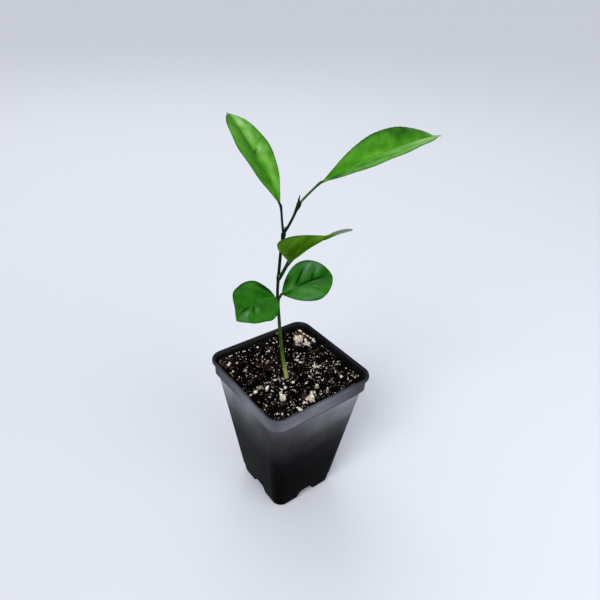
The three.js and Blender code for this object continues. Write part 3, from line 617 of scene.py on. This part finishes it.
def stalk(leaf, share, places, up, first):
    """The stalk's points and faces. It runs on under the blade to half its length and thins out there."""
    gap = max(1, (len(share) - 1) // 24)
    stations = [k for k in range(0, len(share), gap) if 0.02 < share[k] < 0.5]
    under = [tuple(places[k] - 0.2 * up[k]) for k in stations]
    route = [leaf["root"], leaf["petiole"], leaf["base"], *under]
    straight = np.linalg.norm(np.array(leaf["root"]) - np.array(leaf["base"]))
    joint = straight / (straight + leaf["length"] * 0.5)
    wide_half, deep_half = leaf["petiole_half"]
    winged = wide_half > 0.8

    def radii(shares, spots, angles):
        past = np.clip((shares - joint) / (1 - joint), 0, 1)
        thinning = 1 - 0.8 * past
        bulge = 1 + 0.22 * bell(shares, 0, 0.05) + 0.2 * bell(shares, joint, 0.04)
        wing = wide_half + (deep_half - wide_half) * np.minimum(1, 4 * past)
        groove = 1 - 0.12 * bell(angles, np.pi / 2, 0.5) * (1 - past)
        ends = 0.55 + 0.45 * smoothstep(shares, 0, 0.06) if winged else 1.0
        return wing * thinning * bulge * ends * np.ones_like(angles), deep_half * thinning * bulge * groove

    return limb(route, radii, count=70, sides=18, reference=tuple(up[0]), first=first)


def make_leaf(name, leaf, materials):
    """The blade, with its midrib and stalk, in place of the source's leaf."""
    rng = np.random.default_rng(len(name))
    count = max(BLADE_STATIONS, int(leaf["length"] / STATION_STEP))
    share, places, side, up = midrib(leaf, count)
    along = share * leaf["length"]
    fold, curl = math.radians(leaf["fold"]), math.radians(leaf["curl"])
    rounded, round_reach = leaf["soft"]
    numbers = np.arange(-BLADE_COLUMNS, BLADE_COLUMNS + 1)
    width = len(numbers)
    upper = np.zeros((count + 1, width, 3))
    lower = np.zeros_like(upper)
    tone = np.zeros((count + 1, width))
    under_vein = np.zeros_like(tone)
    for k, number in enumerate(numbers):
        hand = 0 if number < 0 else 1
        sign = np.sign(number)
        reach = (abs(number) / BLADE_COLUMNS) ** 1.15
        widest = leaf["half_widths"][hand]
        half = np.maximum(outline(leaf, hand, share) * widest, LEAST_HALF)
        if reach > 0.9:
            half = half * (1 + 0.006 * np.sin(2 * np.pi * share * 23 + 2 * hand))
        across = half * reach
        angle = fold + curl * reach
        out = half * (math.sin(angle) - math.sin(fold)) / curl
        rise = half * (math.cos(fold) - math.cos(angle)) / curl
        normal = up * (math.cos(angle) if number else 1) - sign * math.sin(angle) * side
        ends = smoothstep(share, 0, 0.2) * (1 - smoothstep(share, 0.85, 1)) * np.minimum(half / 4, 1)
        ripple = np.sin(2 * np.pi * leaf["waves"] * share + leaf["phase"] + 1.9 * hand)
        bulge = leaf["arch"][hand] * math.sin(math.pi * reach**0.8) * (half / widest) ** 1.2
        bulge = leaf["wave"] * reach**2.5 * ripple * ends + bulge
        point = places + sign * side * out[:, None] + up * rise[:, None] + normal * bulge[:, None]
        push, near, rib, lighter = relief(leaf, hand, along, across, reach)
        push = push + rounded * math.sin(fold) * bell(across, 0, round_reach)
        fine = np.minimum(half / 3, 1)
        thick = HALF_THICKNESS * (1 - 0.45 * reach**3) * (0.55 + 0.45 * fine)
        thick = np.where(share > leaf["body"][hand], np.maximum(thick, leaf["tail"] * 0.6), thick)
        under_rib = 0.42 * (1 - 0.8 * share) * bell(across, 0, 0.5)
        upper[:, k] = point + normal * (thick + push * fine)[:, None]
        lower[:, k] = point - normal * (thick + (under_rib - 0.6 * push) * fine)[:, None]
        tone[:, k] = tone_field(leaf, hand, along, across, reach, near, rib, lighter)
        under_vein[:, k] = np.maximum(near, rib)

    def middles(values):
        return (values[1:, 1:] + values[:-1, 1:] + values[1:, :-1] + values[:-1, :-1]) / 4

    greens = middles(tone) + rng.uniform(-0.17, 0.17, (count, width - 1))
    top = np.clip(np.rint(greens * TONE_STEPS), 0, TONES - 1).astype(int)
    back = np.where(middles(under_vein)[:, ::-1] > 0.45, UNDER_VEIN, UNDER)
    # The blade's edge faces take a green two steps darker than the margin beside them: partly its own dark
    # rim, partly painted shade.
    rim = np.clip(top[:, :1] - 2 * TONE_STEPS, TONE_STEPS, 3 * TONE_STEPS)
    slots = np.concatenate([top, rim, back, rim], axis=1)
    last = TONE_STEPS
    if "tip_share" in leaf:
        slots[share[1:] > leaf["tip_share"]] = TIP
        last = TIP

    rings = np.concatenate([upper, lower[:, ::-1]], axis=1)
    blade = rings.reshape(-1, 3)
    points, faces = stalk(leaf, share, places, up, len(blade))
    slots = [*slots.reshape(-1), last, TONE_STEPS] + [STALK] * len(faces)
    points, faces = np.vstack([blade, points]), skin(count + 1, rings.shape[1]) + faces
    make_object(name + "_blade", points, faces, materials, slots, replaced=[name])


# ---- potting mix

# Half-width and corner radius of the crumbly surface, half-width within which the grains stay, and how far
# the longest of them are stretched.
MIX_HALF = 28.95
MIX_RADIUS = 6.0
GRAIN_HALF = 28.9
GRAIN_STRETCH = 2.2
# Darkest and palest colour, roughness, scale of the mottling and gloss of what the mix is made of.
MIX_TINTS = {
    "mix_dark": ((0.0008, 0.0006, 0.0005), (0.004, 0.003, 0.002), 0.95, 700, 0.02),
    "peat_black": ((0.0006, 0.0005, 0.0004), (0.003, 0.002, 0.0015), 0.9, 600, 0.02),
    "peat_brown": ((0.004, 0.0022, 0.0018), (0.015, 0.008, 0.006), 0.9, 600, 0.04),
    "bark_chip": ((0.03, 0.014, 0.008), (0.065, 0.033, 0.02), 0.85, 600, 0.15),
    "perlite_white": ((0.7, 0.66, 0.58), (1.0, 0.96, 0.88), 0.8, 1500, 0.3),
    "perlite_cream": ((0.5, 0.38, 0.24), (1.0, 0.94, 0.8), 0.8, 900, 0.3),
    "perlite_green": ((0.2, 0.2, 0.1), (0.5, 0.47, 0.3), 0.8, 1100, 0.3),
    "perlite_dull": ((0.035, 0.029, 0.024), (0.12, 0.1, 0.08), 0.85, 1500, 0.15),
    # The creases of the large lumps: painted shade.
    "perlite_crease_shade": ((0.03, 0.016, 0.009), (0.1, 0.055, 0.03), 0.9, 900, 0.1),
}
# How far grains stay clear of the stem, and the radius from which their creases are painted darker, a painted
# shade.
STEM_CLEAR = 1.5
CREASED_RADIUS = 1.2
# Grains of peat and bark, and the perlite strewn over them: how many, their radii in mm, how high they sit,
# in radii, how much more often small ones come, and how often each material.
CRUMBS = dict(count=1700, smallest=0.25, largest=1.2, lift=(-0.2, 0.5), power=2.2, shares=(0.72, 0.24, 0.04))
SPECKS = dict(
    count=3000, smallest=0.09, largest=0.36, lift=(0.2, 0.9), power=3, shares=(0.42, 0.12, 0.03, 0.43),
    even=False,
)
# How often each material comes among the crumbs where the mix is browner, and where that is: x, y and reach
# in mm.
BROWN_SHARES = (0.35, 0.35, 0.3)
BROWN_PATCHES = [
    (-27, 26, 5.5), (-8.3, 10.4, 4), (11.3, 4.9, 3.5), (14, -3.2, 3), (21.5, 20, 5), (-4, -21, 3.5),
]
# The largest lumps: x, y, height above the mix, radius in mm, stretch, tallness, turn in degrees, material.
CLUMPS = [
    (18.9, 18.2, 1.3, 2.6, 1, 1, 40, 1), (22.4, 13.6, 0.6, 1.5, 1.25, 1, 120, 1),
    (26.9, 13.9, 0.7, 1.05, 1, 1, 0, 0), (25.2, 24.4, 1.9, 0.7, 2, 0.8, 150, 1),
    (25.4, 21.2, 1.9, 0.48, 1.8, 0.8, 140, 1), (26.4, 18.8, 1.6, 0.5, 1.6, 0.8, 120, 1),
    (26.6, 16.4, 1, 0.55, 1.5, 0.8, 110, 1), (23.2, 20.4, 1.5, 0.5, 2.2, 0.9, 150, 1),
    (22.8, 25.2, 1.2, 0.6, 1.6, 0.9, 60, 2), (23.4, 17.2, 1, 0.6, 1.4, 0.9, 10, 0),
    (20.7, 22.8, 0.9, 0.5, 1.8, 0.8, 100, 1), (24.6, 18.4, 0.4, 1.1, 1.3, 0.7, 60, 4),
    (22.6, 22.6, 0.4, 1.5, 1.2, 0.8, 20, 4), (-15.4, -15.6, 0.7, 1.55, 1.05, 1.25, 50, 1),
    (-13.4, -11.4, 0.3, 0.9, 1.3, 0.8, 30, 1), (-4.4, -24.1, 0.8, 1.9, 1.05, 1.05, 20, 1),
    (-8.4, -24.4, 0.4, 0.95, 1.2, 0.8, 0, 1), (-1, -20.2, 0.6, 0.7, 1.3, 1.2, 60, 1),
    (0.6, -20.8, 0.6, 0.6, 1.3, 1.2, 70, 1), (-12.9, -26.2, 0.4, 0.8, 1.9, 0.8, 120, 0),
    (8.4, 5.2, 0.3, 0.65, 1.7, 0.9, 130, 1), (9.3, 3.2, 0.3, 0.55, 1.7, 0.9, 110, 0),
    (11, 7.3, 0.4, 0.75, 1.5, 0.9, 20, 1), (11, -9.9, 0.4, 0.95, 1.1, 1.1, 60, 1),
    (13.2, -4.6, 0.4, 0.9, 1.3, 0.9, 60, 1), (4.2, -18.2, 0.3, 0.9, 1.2, 0.8, 0, 2),
    (-20, -2.2, 0.3, 1.3, 1.2, 0.7, 30, 2), (-24.2, -4.3, 0.3, 0.75, 1.2, 0.9, 0, 0),
    (-17.2, -4.4, 0.4, 0.8, 1.8, 0.8, 30, 0), (-9.3, -9.4, 0.4, 0.75, 1.7, 1, 60, 0),
]
# Lumps of perlite that stand out: x, y, radius in mm, and whether white (0), cream (1) or greenish (2).
LUMPS = [
    (7, -23.1, 0.8, 2), (8.2, -22, 0.5, 0), (-18.9, 13.7, 0.9, 2), (-20.1, 20.2, 0.6, 0),
    (-24.6, 21.2, 0.65, 1), (-23.6, 22.4, 0.5, 0), (-10.9, -2, 0.6, 0), (-12.1, -2.9, 0.45, 1),
    (-9.8, -1.6, 0.35, 0), (-6.4, -3, 0.45, 0), (19.9, -19, 0.8, 1), (21, -18.2, 0.5, 0),
    (-12.7, 26.6, 0.55, 1), (-3.3, 26, 0.6, 0), (-6.1, 13, 0.7, 0), (-4.9, 13.8, 0.5, 1),
    (-12.2, -9.7, 0.55, 0), (-8.3, -6.2, 0.5, 0), (-3.9, -8.3, 0.6, 0), (0.2, -7.7, 0.5, 0),
    (14.9, -5.5, 0.5, 0), (-21.1, 9.7, 0.5, 1), (-27, -4.6, 0.6, 0), (-24.8, -15, 0.45, 0),
    (-23.5, -22.5, 0.42, 0), (-21.6, -24, 0.36, 0), (-7.6, -24.7, 0.5, 0), (25.3, -23.4, 0.45, 1),
    (-25.4, 15.6, 0.6, 1), (-16.5, -8, 0.6, 1), (1.5, -12.5, 0.6, 0), (0.5, 20.5, 0.5, 1),
    (15.5, 8.5, 0.5, 0), (5.1, -17.2, 0.6, 0),
]


def rounded_square(half, radius, z, corner_steps, side_steps):
    """Points of a level rounded square, anticlockwise, with extra points along its straight sides."""
    corners = [(1, 1), (-1, 1), (-1, -1), (1, -1)]

    def corner_point(number, share):
        angle = (number + share) * math.pi / 2
        x, y = (side * (half - radius) for side in corners[number % 4])
        return x + radius * math.cos(angle), y + radius * math.sin(angle), z

    ring = []
    for number in range(4):
        ring += [corner_point(number, step / corner_steps) for step in range(corner_steps + 1)]
        start, end = np.array(corner_point(number, 1)), np.array(corner_point(number + 1, 0))
        ring += [tuple(start + (end - start) * share) for share in side_steps]
    return np.array(ring)


def from_stem(x, y):
    return math.hypot(x - STEM["foot"][0], y - STEM["foot"][1])


def soil_height(x, y):
    """The source's surface of the mix."""
    broad = np.sin(0.21 * x + 1.3) * np.cos(0.17 * y - 0.4)
    fine = np.sin(0.55 * x - 0.38 * y) * np.cos(0.47 * y + 0.29 * x + 2.1)
    outward = max(abs(x), abs(y)) / POT["top_half"]
    uneven = 0.55 * (0.55 * broad + 0.45 * fine) + 0.5 * outward**3
    return SOIL_TOP + smoothstep(from_stem(x, y), 3.5, 10.5) * uneven


def crumb_height(x, y):
    """The crumbly surface that lies on it, banked up along one wall and in its corner."""
    spot = Vector((x, y, 0))
    lumps = 0.55 * noise.fractal(spot * 0.55, 1.0, 2.2, 4)
    cells = noise.voronoi(spot * 0.75)[0]
    bank = 0.9 * smoothstep(y, 12, 26) * (1 - smoothstep(x, 0, 24))
    bank = bank + 1.1 * math.exp(-math.hypot(x + 27, y - 26) / 5)
    return float(soil_height(x, y) + 0.55 + lumps + 0.5 * min(cells[1] - cells[0], 0.8) + bank)


def make_mix_surface(material):
    steps, spaces = 84, 56
    rings = []
    for k in range(steps):
        share = 1 - k / steps
        side_steps = np.arange(1, spaces) / spaces
        radius = max(MIX_RADIUS * share, 0.05)
        ring = rounded_square(MIX_HALF * share, radius, 0, corner_steps=6, side_steps=side_steps)
        sunk = 0.25 if k == 0 else 0
        ring[:, 2] = [crumb_height(x, y) - sunk for x, y in ring[:, :2]]
        rings.append(ring)
    below = rings[0].copy()
    below[:, 2] = SOIL_TOP - 2.5
    faces = skin(steps + 1, len(below))
    make_object("mix_surface", np.vstack([below, *rings]), faces, [material])


def pebble_shape(level):
    ball = bmesh.new()
    bmesh.ops.create_icosphere(ball, subdivisions=level, radius=1)
    points = np.array([tuple(v.co) for v in ball.verts])
    faces = np.array([[v.index for v in f.verts] for f in ball.faces])
    ball.free()
    return points, faces


def scatter(name, rng, grains, materials, level, lumpiness, cells=0.0, smooth=False):
    """Lumpy grains joined in one mesh. Each grain is (x, y, above, radius, stretch, tall, turn, material).

    With cells, each grain is split by creases, which on the large ones take the last material, a painted
    shade."""
    shape, shape_faces = pebble_shape(level)
    points, faces, slots = [], [], []
    for number, (x, y, above, radius, stretch, tall, turn, slot) in enumerate(grains):
        offset = rng.uniform(-50, 50, 3)
        own = np.full(len(shape_faces), slot)
        swell = lumpiness * np.array([noise.noise(Vector(p * 1.3 + offset)) for p in shape])
        if cells:
            near = np.array([noise.voronoi(Vector(p * 1.15 + offset))[0][:2] for p in shape])
            edge = near[:, 1] - near[:, 0]
            swell += cells * (0.45 - near[:, 0]) - 0.25 * bell(edge, 0, 0.07)
            swell += 0.3 * lumpiness * np.array([noise.noise(Vector(p * 5 + offset)) for p in shape])
            if radius > CREASED_RADIUS:
                own[edge[shape_faces].mean(axis=1) < 0.055] = len(materials) - 1
        grain = shape * (1 + swell)[:, None] * radius * (stretch, 1, tall)
        lean = rng.uniform(-0.5, 0.5)
        turned = Matrix.Rotation(math.radians(turn), 3, "Z") @ Matrix.Rotation(lean, 3, "Y")
        points.append(grain @ np.array(turned).T + (x, y, crumb_height(x, y) + above))
        faces.append(shape_faces + len(shape) * number)
        slots += own.tolist()
    faces = [tuple(face) for face in np.vstack(faces).tolist()]
    make_object(name, np.vstack(points), faces, materials, slots, smooth)


def inside(x, y, margin):
    """Whether a place is inside the rounded square of the grains by a margin."""
    half, radius = GRAIN_HALF - margin, MIX_RADIUS - margin * 0.5
    dx, dy = abs(x) - (half - radius), abs(y) - (half - radius)
    if dx > 0 and dy > 0:
        return math.hypot(dx, dy) < radius
    return max(abs(x), abs(y)) < half


def crowding(x, y):
    """How thickly grains lie at a place: most in front of the stem, in patches."""
    middle = math.exp(-((x - 2) ** 2 + (y + 6) ** 2) / 330)
    front = math.exp(-((x + 15) ** 2 + (y + 20) ** 2) / 160)
    return 0.42 + 0.3 * middle + 0.06 * front + 0.6 * noise.noise(Vector((x * 0.16, y * 0.16, 4.0)))


def random_grains(rng, count, smallest, largest, lift, power, shares, even=True):
    """Grains strewn over the mix, clear of the stem, evenly or in patches."""
    grains = []
    while len(grains) < count:
        x, y = rng.uniform(-29, 29, 2)
        radius = smallest + (largest - smallest) * rng.random() ** power
        if not inside(x, y, radius + 0.1) or from_stem(x, y) < STEM_CLEAR + radius:
            continue
        if even or rng.random() < crowding(x, y):
            slot = int(rng.choice(len(shares), p=shares))
            above, turn = radius * rng.uniform(*lift), rng.uniform(0, 360)
            stretch, tall = rng.uniform(1.0, GRAIN_STRETCH), rng.uniform(0.65, 0.95)
            grains.append((x, y, above, radius, stretch, tall, turn, slot))
    return grains


def make_mix():
    rng = np.random.default_rng(7)
    bump = [("noise", 1400, 0.8, 0.0006), ("noise", 4000, 0.5, 0.0003)]
    soil, *grits = [
        textured(name, low, high, roughness, scale, bump, specular)
        for name, (low, high, roughness, scale, specular) in MIX_TINTS.items()
    ]
    peats, perlites = grits[:3], grits[3:]
    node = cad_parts["potting_mix"]
    node.data.materials.clear()
    node.data.materials.append(soil)
    make_mix_surface(soil)

    crumbs = random_grains(rng, **CRUMBS)
    for number, crumb in enumerate(crumbs):
        if any(math.hypot(crumb[0] - x, crumb[1] - y) < reach for x, y, reach in BROWN_PATCHES):
            crumbs[number] = (*crumb[:-1], int(rng.choice(3, p=BROWN_SHARES)))
    scatter("mix_crumbs", rng, crumbs, peats, level=1, lumpiness=0.5)

    specks = random_grains(rng, **SPECKS)
    scatter("perlite_grains", rng, specks, perlites[:4], level=1, lumpiness=0.7)
    lumps = [
        (x, y, 0.25 * radius, radius, rng.uniform(1.0, 1.5), rng.uniform(0.7, 1.0), rng.uniform(0, 360), tint)
        for x, y, radius, tint in LUMPS
    ]
    scatter("perlite_lumps", rng, lumps + CLUMPS, perlites, level=4, lumpiness=0.8, cells=0.5, smooth=True)


# ---- pot

# Colour of the plastic by height in mm: nearly black at the foot and paler up to the rim, a painted sheen
# that stands in for reflections, with a painted shade line under the collar, and darker again on top of the
# rim.
POT_SHEEN_TINTS = [
    (0, (0.001, 0.001, 0.001)), (25, (0.0015, 0.0015, 0.0015)), (42, (0.007, 0.007, 0.008)),
    (55, (0.032, 0.032, 0.034)), (66, (0.09, 0.09, 0.1)), (72.2, (0.128, 0.126, 0.14)),
    (72.7, (0.012, 0.012, 0.014)), (74.1, (0.012, 0.012, 0.014)), (74.3, (0.152, 0.153, 0.182)),
    (82.3, (0.157, 0.161, 0.19)), (83, (0.078, 0.081, 0.1)),
]
# How much paler or darker the wall and the collar get along each side, from the front and back corners
# outwards, which paints in their reflections as sheen and shade: where it starts and ends, as the difference
# between x and y in mm, and the factors there. The collar has one more, close to those corners.
WALL_SHEEN = (10, 45, 0.58, 2.2)
COLLAR_SHEEN = (33, 52, 1.05, 0.42)
CORNER_SHEEN = (0, 13, 0.55, 1.0)
# Heights between which the wall's sheen gives way to the collar's.
SHEEN_CHANGE = (72.2, 72.7)
# The height from which faces belong to the top of the rim, the sum of x and y from which they are on its far
# sides, and the height of the floor inside. On the top of the rim, the inward faces and the far sides take
# the dark lip plastic, a painted shade with a faint bluish painted reflection, while the near sides keep the
# wall's painted sheen.
RIM_TOP = 82.4
FAR_SIDES = 4
INSIDE_FLOOR = 2
PLASTIC_GRAIN = ("noise", 2600, 0.1, 0.00003)
# Where the pot's straight sides are divided, and in how many steps its corners turn.
SIDE_STEPS = (0.02, 0.12, 0.3, 0.5, 0.7, 0.88, 0.98)
CORNER_STEPS = 16


def wall(z, inset=0):
    """Half-width and corner radius of the outer wall at a height, less an inset."""
    share = z / POT["height"]
    half = POT["base_half"] + (POT["top_half"] - POT["base_half"]) * share
    radius = POT["base_radius"] + (POT["rim_radius"] - POT["base_radius"]) * share
    return half - inset, radius - inset


def bend(start, corner, end, t):
    """A place on the curve that leaves start towards a corner and comes from there to end."""
    return (1 - t) ** 2 * start + 2 * t * (1 - t) * corner + t * t * end


def rounded_profile(corners):
    """Profile corners (half, radius, height, rounding) with each corner rounded in four steps."""
    profile = []
    for k, (*place, soften) in enumerate(corners):
        if soften == 0:
            profile.append(tuple(place))
            continue
        before, here, after = (np.array(corner[:3], float) for corner in corners[k - 1 : k + 2])
        start = here + (before - here) * min(0.49, soften / np.linalg.norm(before - here))
        end = here + (after - here) * min(0.49, soften / np.linalg.norm(after - here))
        profile += [tuple(bend(start, here, end, t)) for t in (0, 0.25, 0.5, 0.75, 1)]
    return profile


def solid_object(name, points, faces):
    """An object with its faces turned outwards, to be cut or to cut with."""
    thing = mesh_object(name, points, faces)
    work = bmesh.new()
    work.from_mesh(thing.data)
    bmesh.ops.recalc_face_normals(work, faces=work.faces)
    work.to_mesh(thing.data)
    work.free()
    return thing


def loft_object(name, profile):
    rings = [rounded_square(half, radius, z, CORNER_STEPS, SIDE_STEPS) for half, radius, z in profile]
    return solid_object(name, np.vstack(rings), skin(len(rings), len(rings[0])))


def pot_outside():
    p = POT
    collar, lip, top = p["height"] - p["collar_depth"], p["height"] - p["lip_depth"], p["foot_height"]
    inset = p["foot_step"]
    return rounded_profile([
        (p["foot_half"] - 1.0, p["base_radius"] - 2.4, 0, 0),
        (p["foot_half"], p["base_radius"] - 1.4, 0, 0.5),
        (wall(1.4, inset)[0], p["base_radius"] - 0.5, 1.4, 0.6),
        (*wall(top, inset), top, 0.15),
        (wall(top + 0.4)[0], wall(top)[1], top + 0.4, 0.2),
        (*wall(40), 40, 0),
        (*wall(collar), collar, 0.12),
        (p["collar_half"], p["rim_radius"] - 0.6, collar + 0.1, 0.3),
        (p["collar_half"], p["rim_radius"] - 0.6, lip - 0.7, 0.4),
        (p["rim_half"], p["rim_radius"], lip + 0.2, 0.5),
        (p["rim_half"], p["rim_radius"], p["height"], 0.7),
        (p["rim_half"] - 1.4, p["rim_radius"] - 1.0, p["height"], 0),
    ])


def pot_inside():
    p = POT
    floor, neck = p["wall"] + 0.2, p["height"] - p["collar_depth"]
    floor_half, floor_radius = wall(floor, p["wall"])
    mouth, mouth_radius = p["rim_half"] - p["lip_width"], p["rim_radius"] - p["lip_width"]
    return rounded_profile([
        (floor_half - 1.8, floor_radius - 1.2, floor, 0),
        (*wall(floor + 1.8, p["wall"]), floor + 1.8, 0.8),
        (*wall(neck, p["wall"]), neck, 0.3),
        (mouth, mouth_radius, p["height"] - 1.2, 0.4),
        (mouth + 0.9, mouth_radius + 0.6, p["height"] - 0.05, 0.25),
        (mouth + 1.6, mouth_radius + 0.9, p["height"] + 0.6, 0),
    ])


def on_each_side(points):
    """Bars on all four sides of the pot, from the two rings of points at the ends of one."""
    bars = []
    for _ in range(4):
        bars.append(solid_object("tool", points, skin(2, len(points) // 2)))
        points = [(-y, x, z) for x, y, z in points]
    return bars


def recess_bars(growth):
    """What the drainage recesses take away, or with growth the plastic round them."""
    foot, head = RECESS["width"] / 2 + growth, RECESS["top_width"] / 2 + growth
    top = RECESS["height"] + growth
    arc = [(bend(foot, foot - 0.4, head - 1.2, t), bend(0, top, top, t)) for t in np.linspace(0, 1, 9)]
    section = [(-foot, -1 - growth), (foot, -1 - growth), *arc, *[(-x, z) for x, z in reversed(arc)]]
    start = -(POT["foot_half"] - RECESS["depth"] - growth)
    end = start - (RECESS["depth"] + growth + 6)
    return on_each_side([(x, y, z) for y in (start, end) for x, z in section])


def slot_bars():
    """What the slots in the roofs of the recesses take away."""
    wide, deep = RECESS["slot_width"] / 2, RECESS["slot_depth"] / 2
    y, z = -(POT["foot_half"] - RECESS["depth"] / 2), RECESS["height"] + 0.6
    ring = [(-wide, y - deep), (wide, y - deep), (wide, y + deep), (-wide, y + deep)]
    return on_each_side([(*corner, height) for height in (z - 1.5, z + 1.5) for corner in ring])


def subtract(body, tools):
    for tool in tools:
        cut = body.modifiers.new("cut", "BOOLEAN")
        cut.operation = "DIFFERENCE"
        cut.solver = "EXACT"
        cut.object = tool
    mesh = bpy.data.meshes.new_from_object(body.evaluated_get(bpy.context.evaluated_depsgraph_get()))
    body.modifiers.clear()
    body.data = mesh
    for tool in tools:
        bpy.data.objects.remove(tool)
    return body


def ranged(tree, source, low, high, start, end):
    """A number that runs from start to end while a length runs from low to high, in mm."""
    sockets = {"Value": source, "From Min": low * MM, "From Max": high * MM, "To Min": start, "To Max": end}
    return add_node(tree, "MapRange", sockets).outputs["Result"]


def multiplied(tree, a, b):
    """The product of two colours."""
    sockets = {"Factor": 1.0, "A": a, "B": b}
    return add_node(tree, "Mix", sockets, data_type="RGBA", blend_type="MULTIPLY").outputs["Result"]


def pot_plastic():
    """Satin black plastic, mottled a little, with its colour set by height and along each side, a painted
    sheen and shade.
    """
    grain = [PLASTIC_GRAIN, ("noise", 160, 0.08, 0.0003)]
    material = textured("black_plastic", (0.7,) * 3, (1.2,) * 3, 0.34, 70, grain, 0.004, (0.24, 0.38))
    color = find_shader(material).inputs["Base Color"]
    color.default_value = (*POT_SHEEN_TINTS[-1][1], 1)
    mottle = color.links[0].from_socket
    tree = material.node_tree
    place = add_node(tree, "TexCoord").outputs["Object"]
    split = add_node(tree, "SeparateXYZ", {"Vector": place}).outputs
    share = ranged(tree, split["Z"], 0, POT["height"], 0, 1)
    tint = color_ramp(tree, share, [(z / POT["height"], tint) for z, tint in POT_SHEEN_TINTS])
    aside = add_node(tree, "Math", {0: split["X"], 1: split["Y"]}, operation="SUBTRACT").outputs["Value"]
    either = add_node(tree, "Math", {0: aside}, operation="ABSOLUTE").outputs["Value"]
    sheens = [ranged(tree, either, *sheen) for sheen in (WALL_SHEEN, COLLAR_SHEEN, CORNER_SHEEN)]
    collar = add_node(tree, "Math", {0: sheens[1], 1: sheens[2]}, operation="MULTIPLY").outputs["Value"]
    change = ranged(tree, split["Z"], *SHEEN_CHANGE, 0, 1)
    sheen = add_node(tree, "Mix", {"Factor": change, "A": sheens[0], "B": collar}).outputs["Result"]
    tree.links.new(multiplied(tree, multiplied(tree, tint, mottle), sheen), color)
    return material


def make_pot():
    cavity = subtract(loft_object("cavity", pot_inside()), recess_bars(POT["wall"]))
    shell = subtract(loft_object("pot_shell", pot_outside()), [cavity, *recess_bars(0), *slot_bars()])
    mesh = shell.data
    mesh.materials.clear()
    grain = [PLASTIC_GRAIN]
    for material in (
        pot_plastic(),
        textured("black_plastic_inside", (0.002,) * 3, (0.005,) * 3, 0.5, 70, grain, 0.15),
        textured("black_plastic_lip", (0.006, 0.007, 0.01), (0.012, 0.014, 0.02), 0.4, 90, grain, 0.1),
    ):
        mesh.materials.append(material)
    for face in mesh.polygons:
        x, y, z = face.center / MM
        inward = face.normal.x * x + face.normal.y * y < 0
        if z > RIM_TOP:
            # Inward faces and far sides of the rim top: painted shade, with a faint bluish painted
            # reflection.
            face.material_index = 2 if inward or x + y > FAR_SIDES else 0
        else:
            face.material_index = 1 if inward and z > INSIDE_FLOOR else 0
    mesh.polygons.foreach_set("use_smooth", np.full(len(mesh.polygons), True))
    mesh.set_sharp_from_angle(angle=math.radians(32))
    mesh.update()
    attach(shell, "root")
    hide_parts("pot")


# ---- stage, light and camera

# The floor is a disc, in mm.
FLOOR = dict(radius=14000, drop=0.3, corners=96)
# The photo's camera as fitted to the pot: place in mm, focal length in pixels, width of the picture, degrees.
CAMERA = dict(place=(-133.15, -175.84, 260.13), focal=532.6, width=600, yaw=-38.136, pitch=31.747, roll=2.555)


def make_stage():
    angles = ring_angles(FLOOR["corners"])
    down = np.full(len(angles), -FLOOR["drop"])
    ring = np.stack([FLOOR["radius"] * np.cos(angles), FLOOR["radius"] * np.sin(angles), down], axis=1)
    floor = mesh_object("floor", ring, [tuple(range(len(ring)))])
    floor.data.materials.append(principled("floor_pale", (0.74, 0.765, 0.835), 0.9, 0.05))
    world = bpy.data.worlds.new("studio")
    world.use_nodes = True
    background = world.node_tree.nodes["Background"]
    background.inputs["Color"].default_value = (0.95, 0.98, 1.0, 1)
    background.inputs["Strength"].default_value = 0.4
    bpy.context.scene.world = world
    bpy.context.scene.view_settings.view_transform = "Standard"


def make_lamp(name, kind, power, aim, place=(0, 0, 0)):
    """The data of a new lamp, which shines along aim."""
    data = bpy.data.lights.new(name, kind)
    data.energy = power
    lamp = add_object(name, data)
    lamp.location = place
    lamp.rotation_mode = "QUATERNION"
    lamp.rotation_quaternion = Vector(aim).to_track_quat("-Z", "Y")
    return data


def softbox(name, place, target, size, power, color):
    data = make_lamp(name, "AREA", power, Vector(target) - Vector(place), place)
    data.shape = "RECTANGLE"
    data.size, data.size_y = size
    data.color = color


def make_lights():
    sun = make_lamp("key_sun", "SUN", power=1.82, aim=(0.7, 0.3, -0.75))
    sun.angle = math.radians(30)
    softbox("back", (0.2, 0.7, 1.2), (0, 0, 0.12), size=(0.9, 0.7), power=4.1, color=(0.97, 0.985, 1))
    softbox("fill", (0.12, -0.55, 0.33), (0, 0, 0.06), size=(0.5, 0.5), power=1.4, color=(0.97, 0.98, 1))


def make_camera():
    yaw, pitch, roll = (math.radians(CAMERA[turn]) for turn in ("yaw", "pitch", "roll"))
    forward = Vector((-math.sin(yaw) * math.cos(pitch), math.cos(yaw) * math.cos(pitch), -math.sin(pitch)))
    level = Vector((math.cos(yaw), math.sin(yaw), 0))
    above = level.cross(forward)
    right = math.cos(roll) * level + math.sin(roll) * above
    up = math.cos(roll) * above - math.sin(roll) * level
    data = bpy.data.cameras.new("camera")
    data.lens = data.sensor_width * CAMERA["focal"] / CAMERA["width"]
    data.clip_start, data.clip_end = 0.01, 20
    camera = add_object("camera", data)
    basis = Matrix((right, up, -forward)).transposed().to_4x4()
    camera.matrix_world = Matrix.Translation(Vector(CAMERA["place"]) * MM) @ basis
    bpy.context.scene.camera = camera


# ---- all together

make_camera()
make_stage()
make_lights()
make_pot()
make_mix()
make_stem()
make_shoot()
make_buds()
greens = {name: leaf_materials(name, colors) for name, colors in PALETTES.items()}
for leaf_name, leaf in LEAVES.items():
    ends = [
        mottled(f"{leaf_name}_{part}", leaf[part], 0.45, 260, [("noise", 900, 0.3, 0.0004)], 0.06)
        for part in ("tip", "stalk")
    ]
    make_leaf(leaf_name, leaf, greens[leaf["palette"]] + ends)
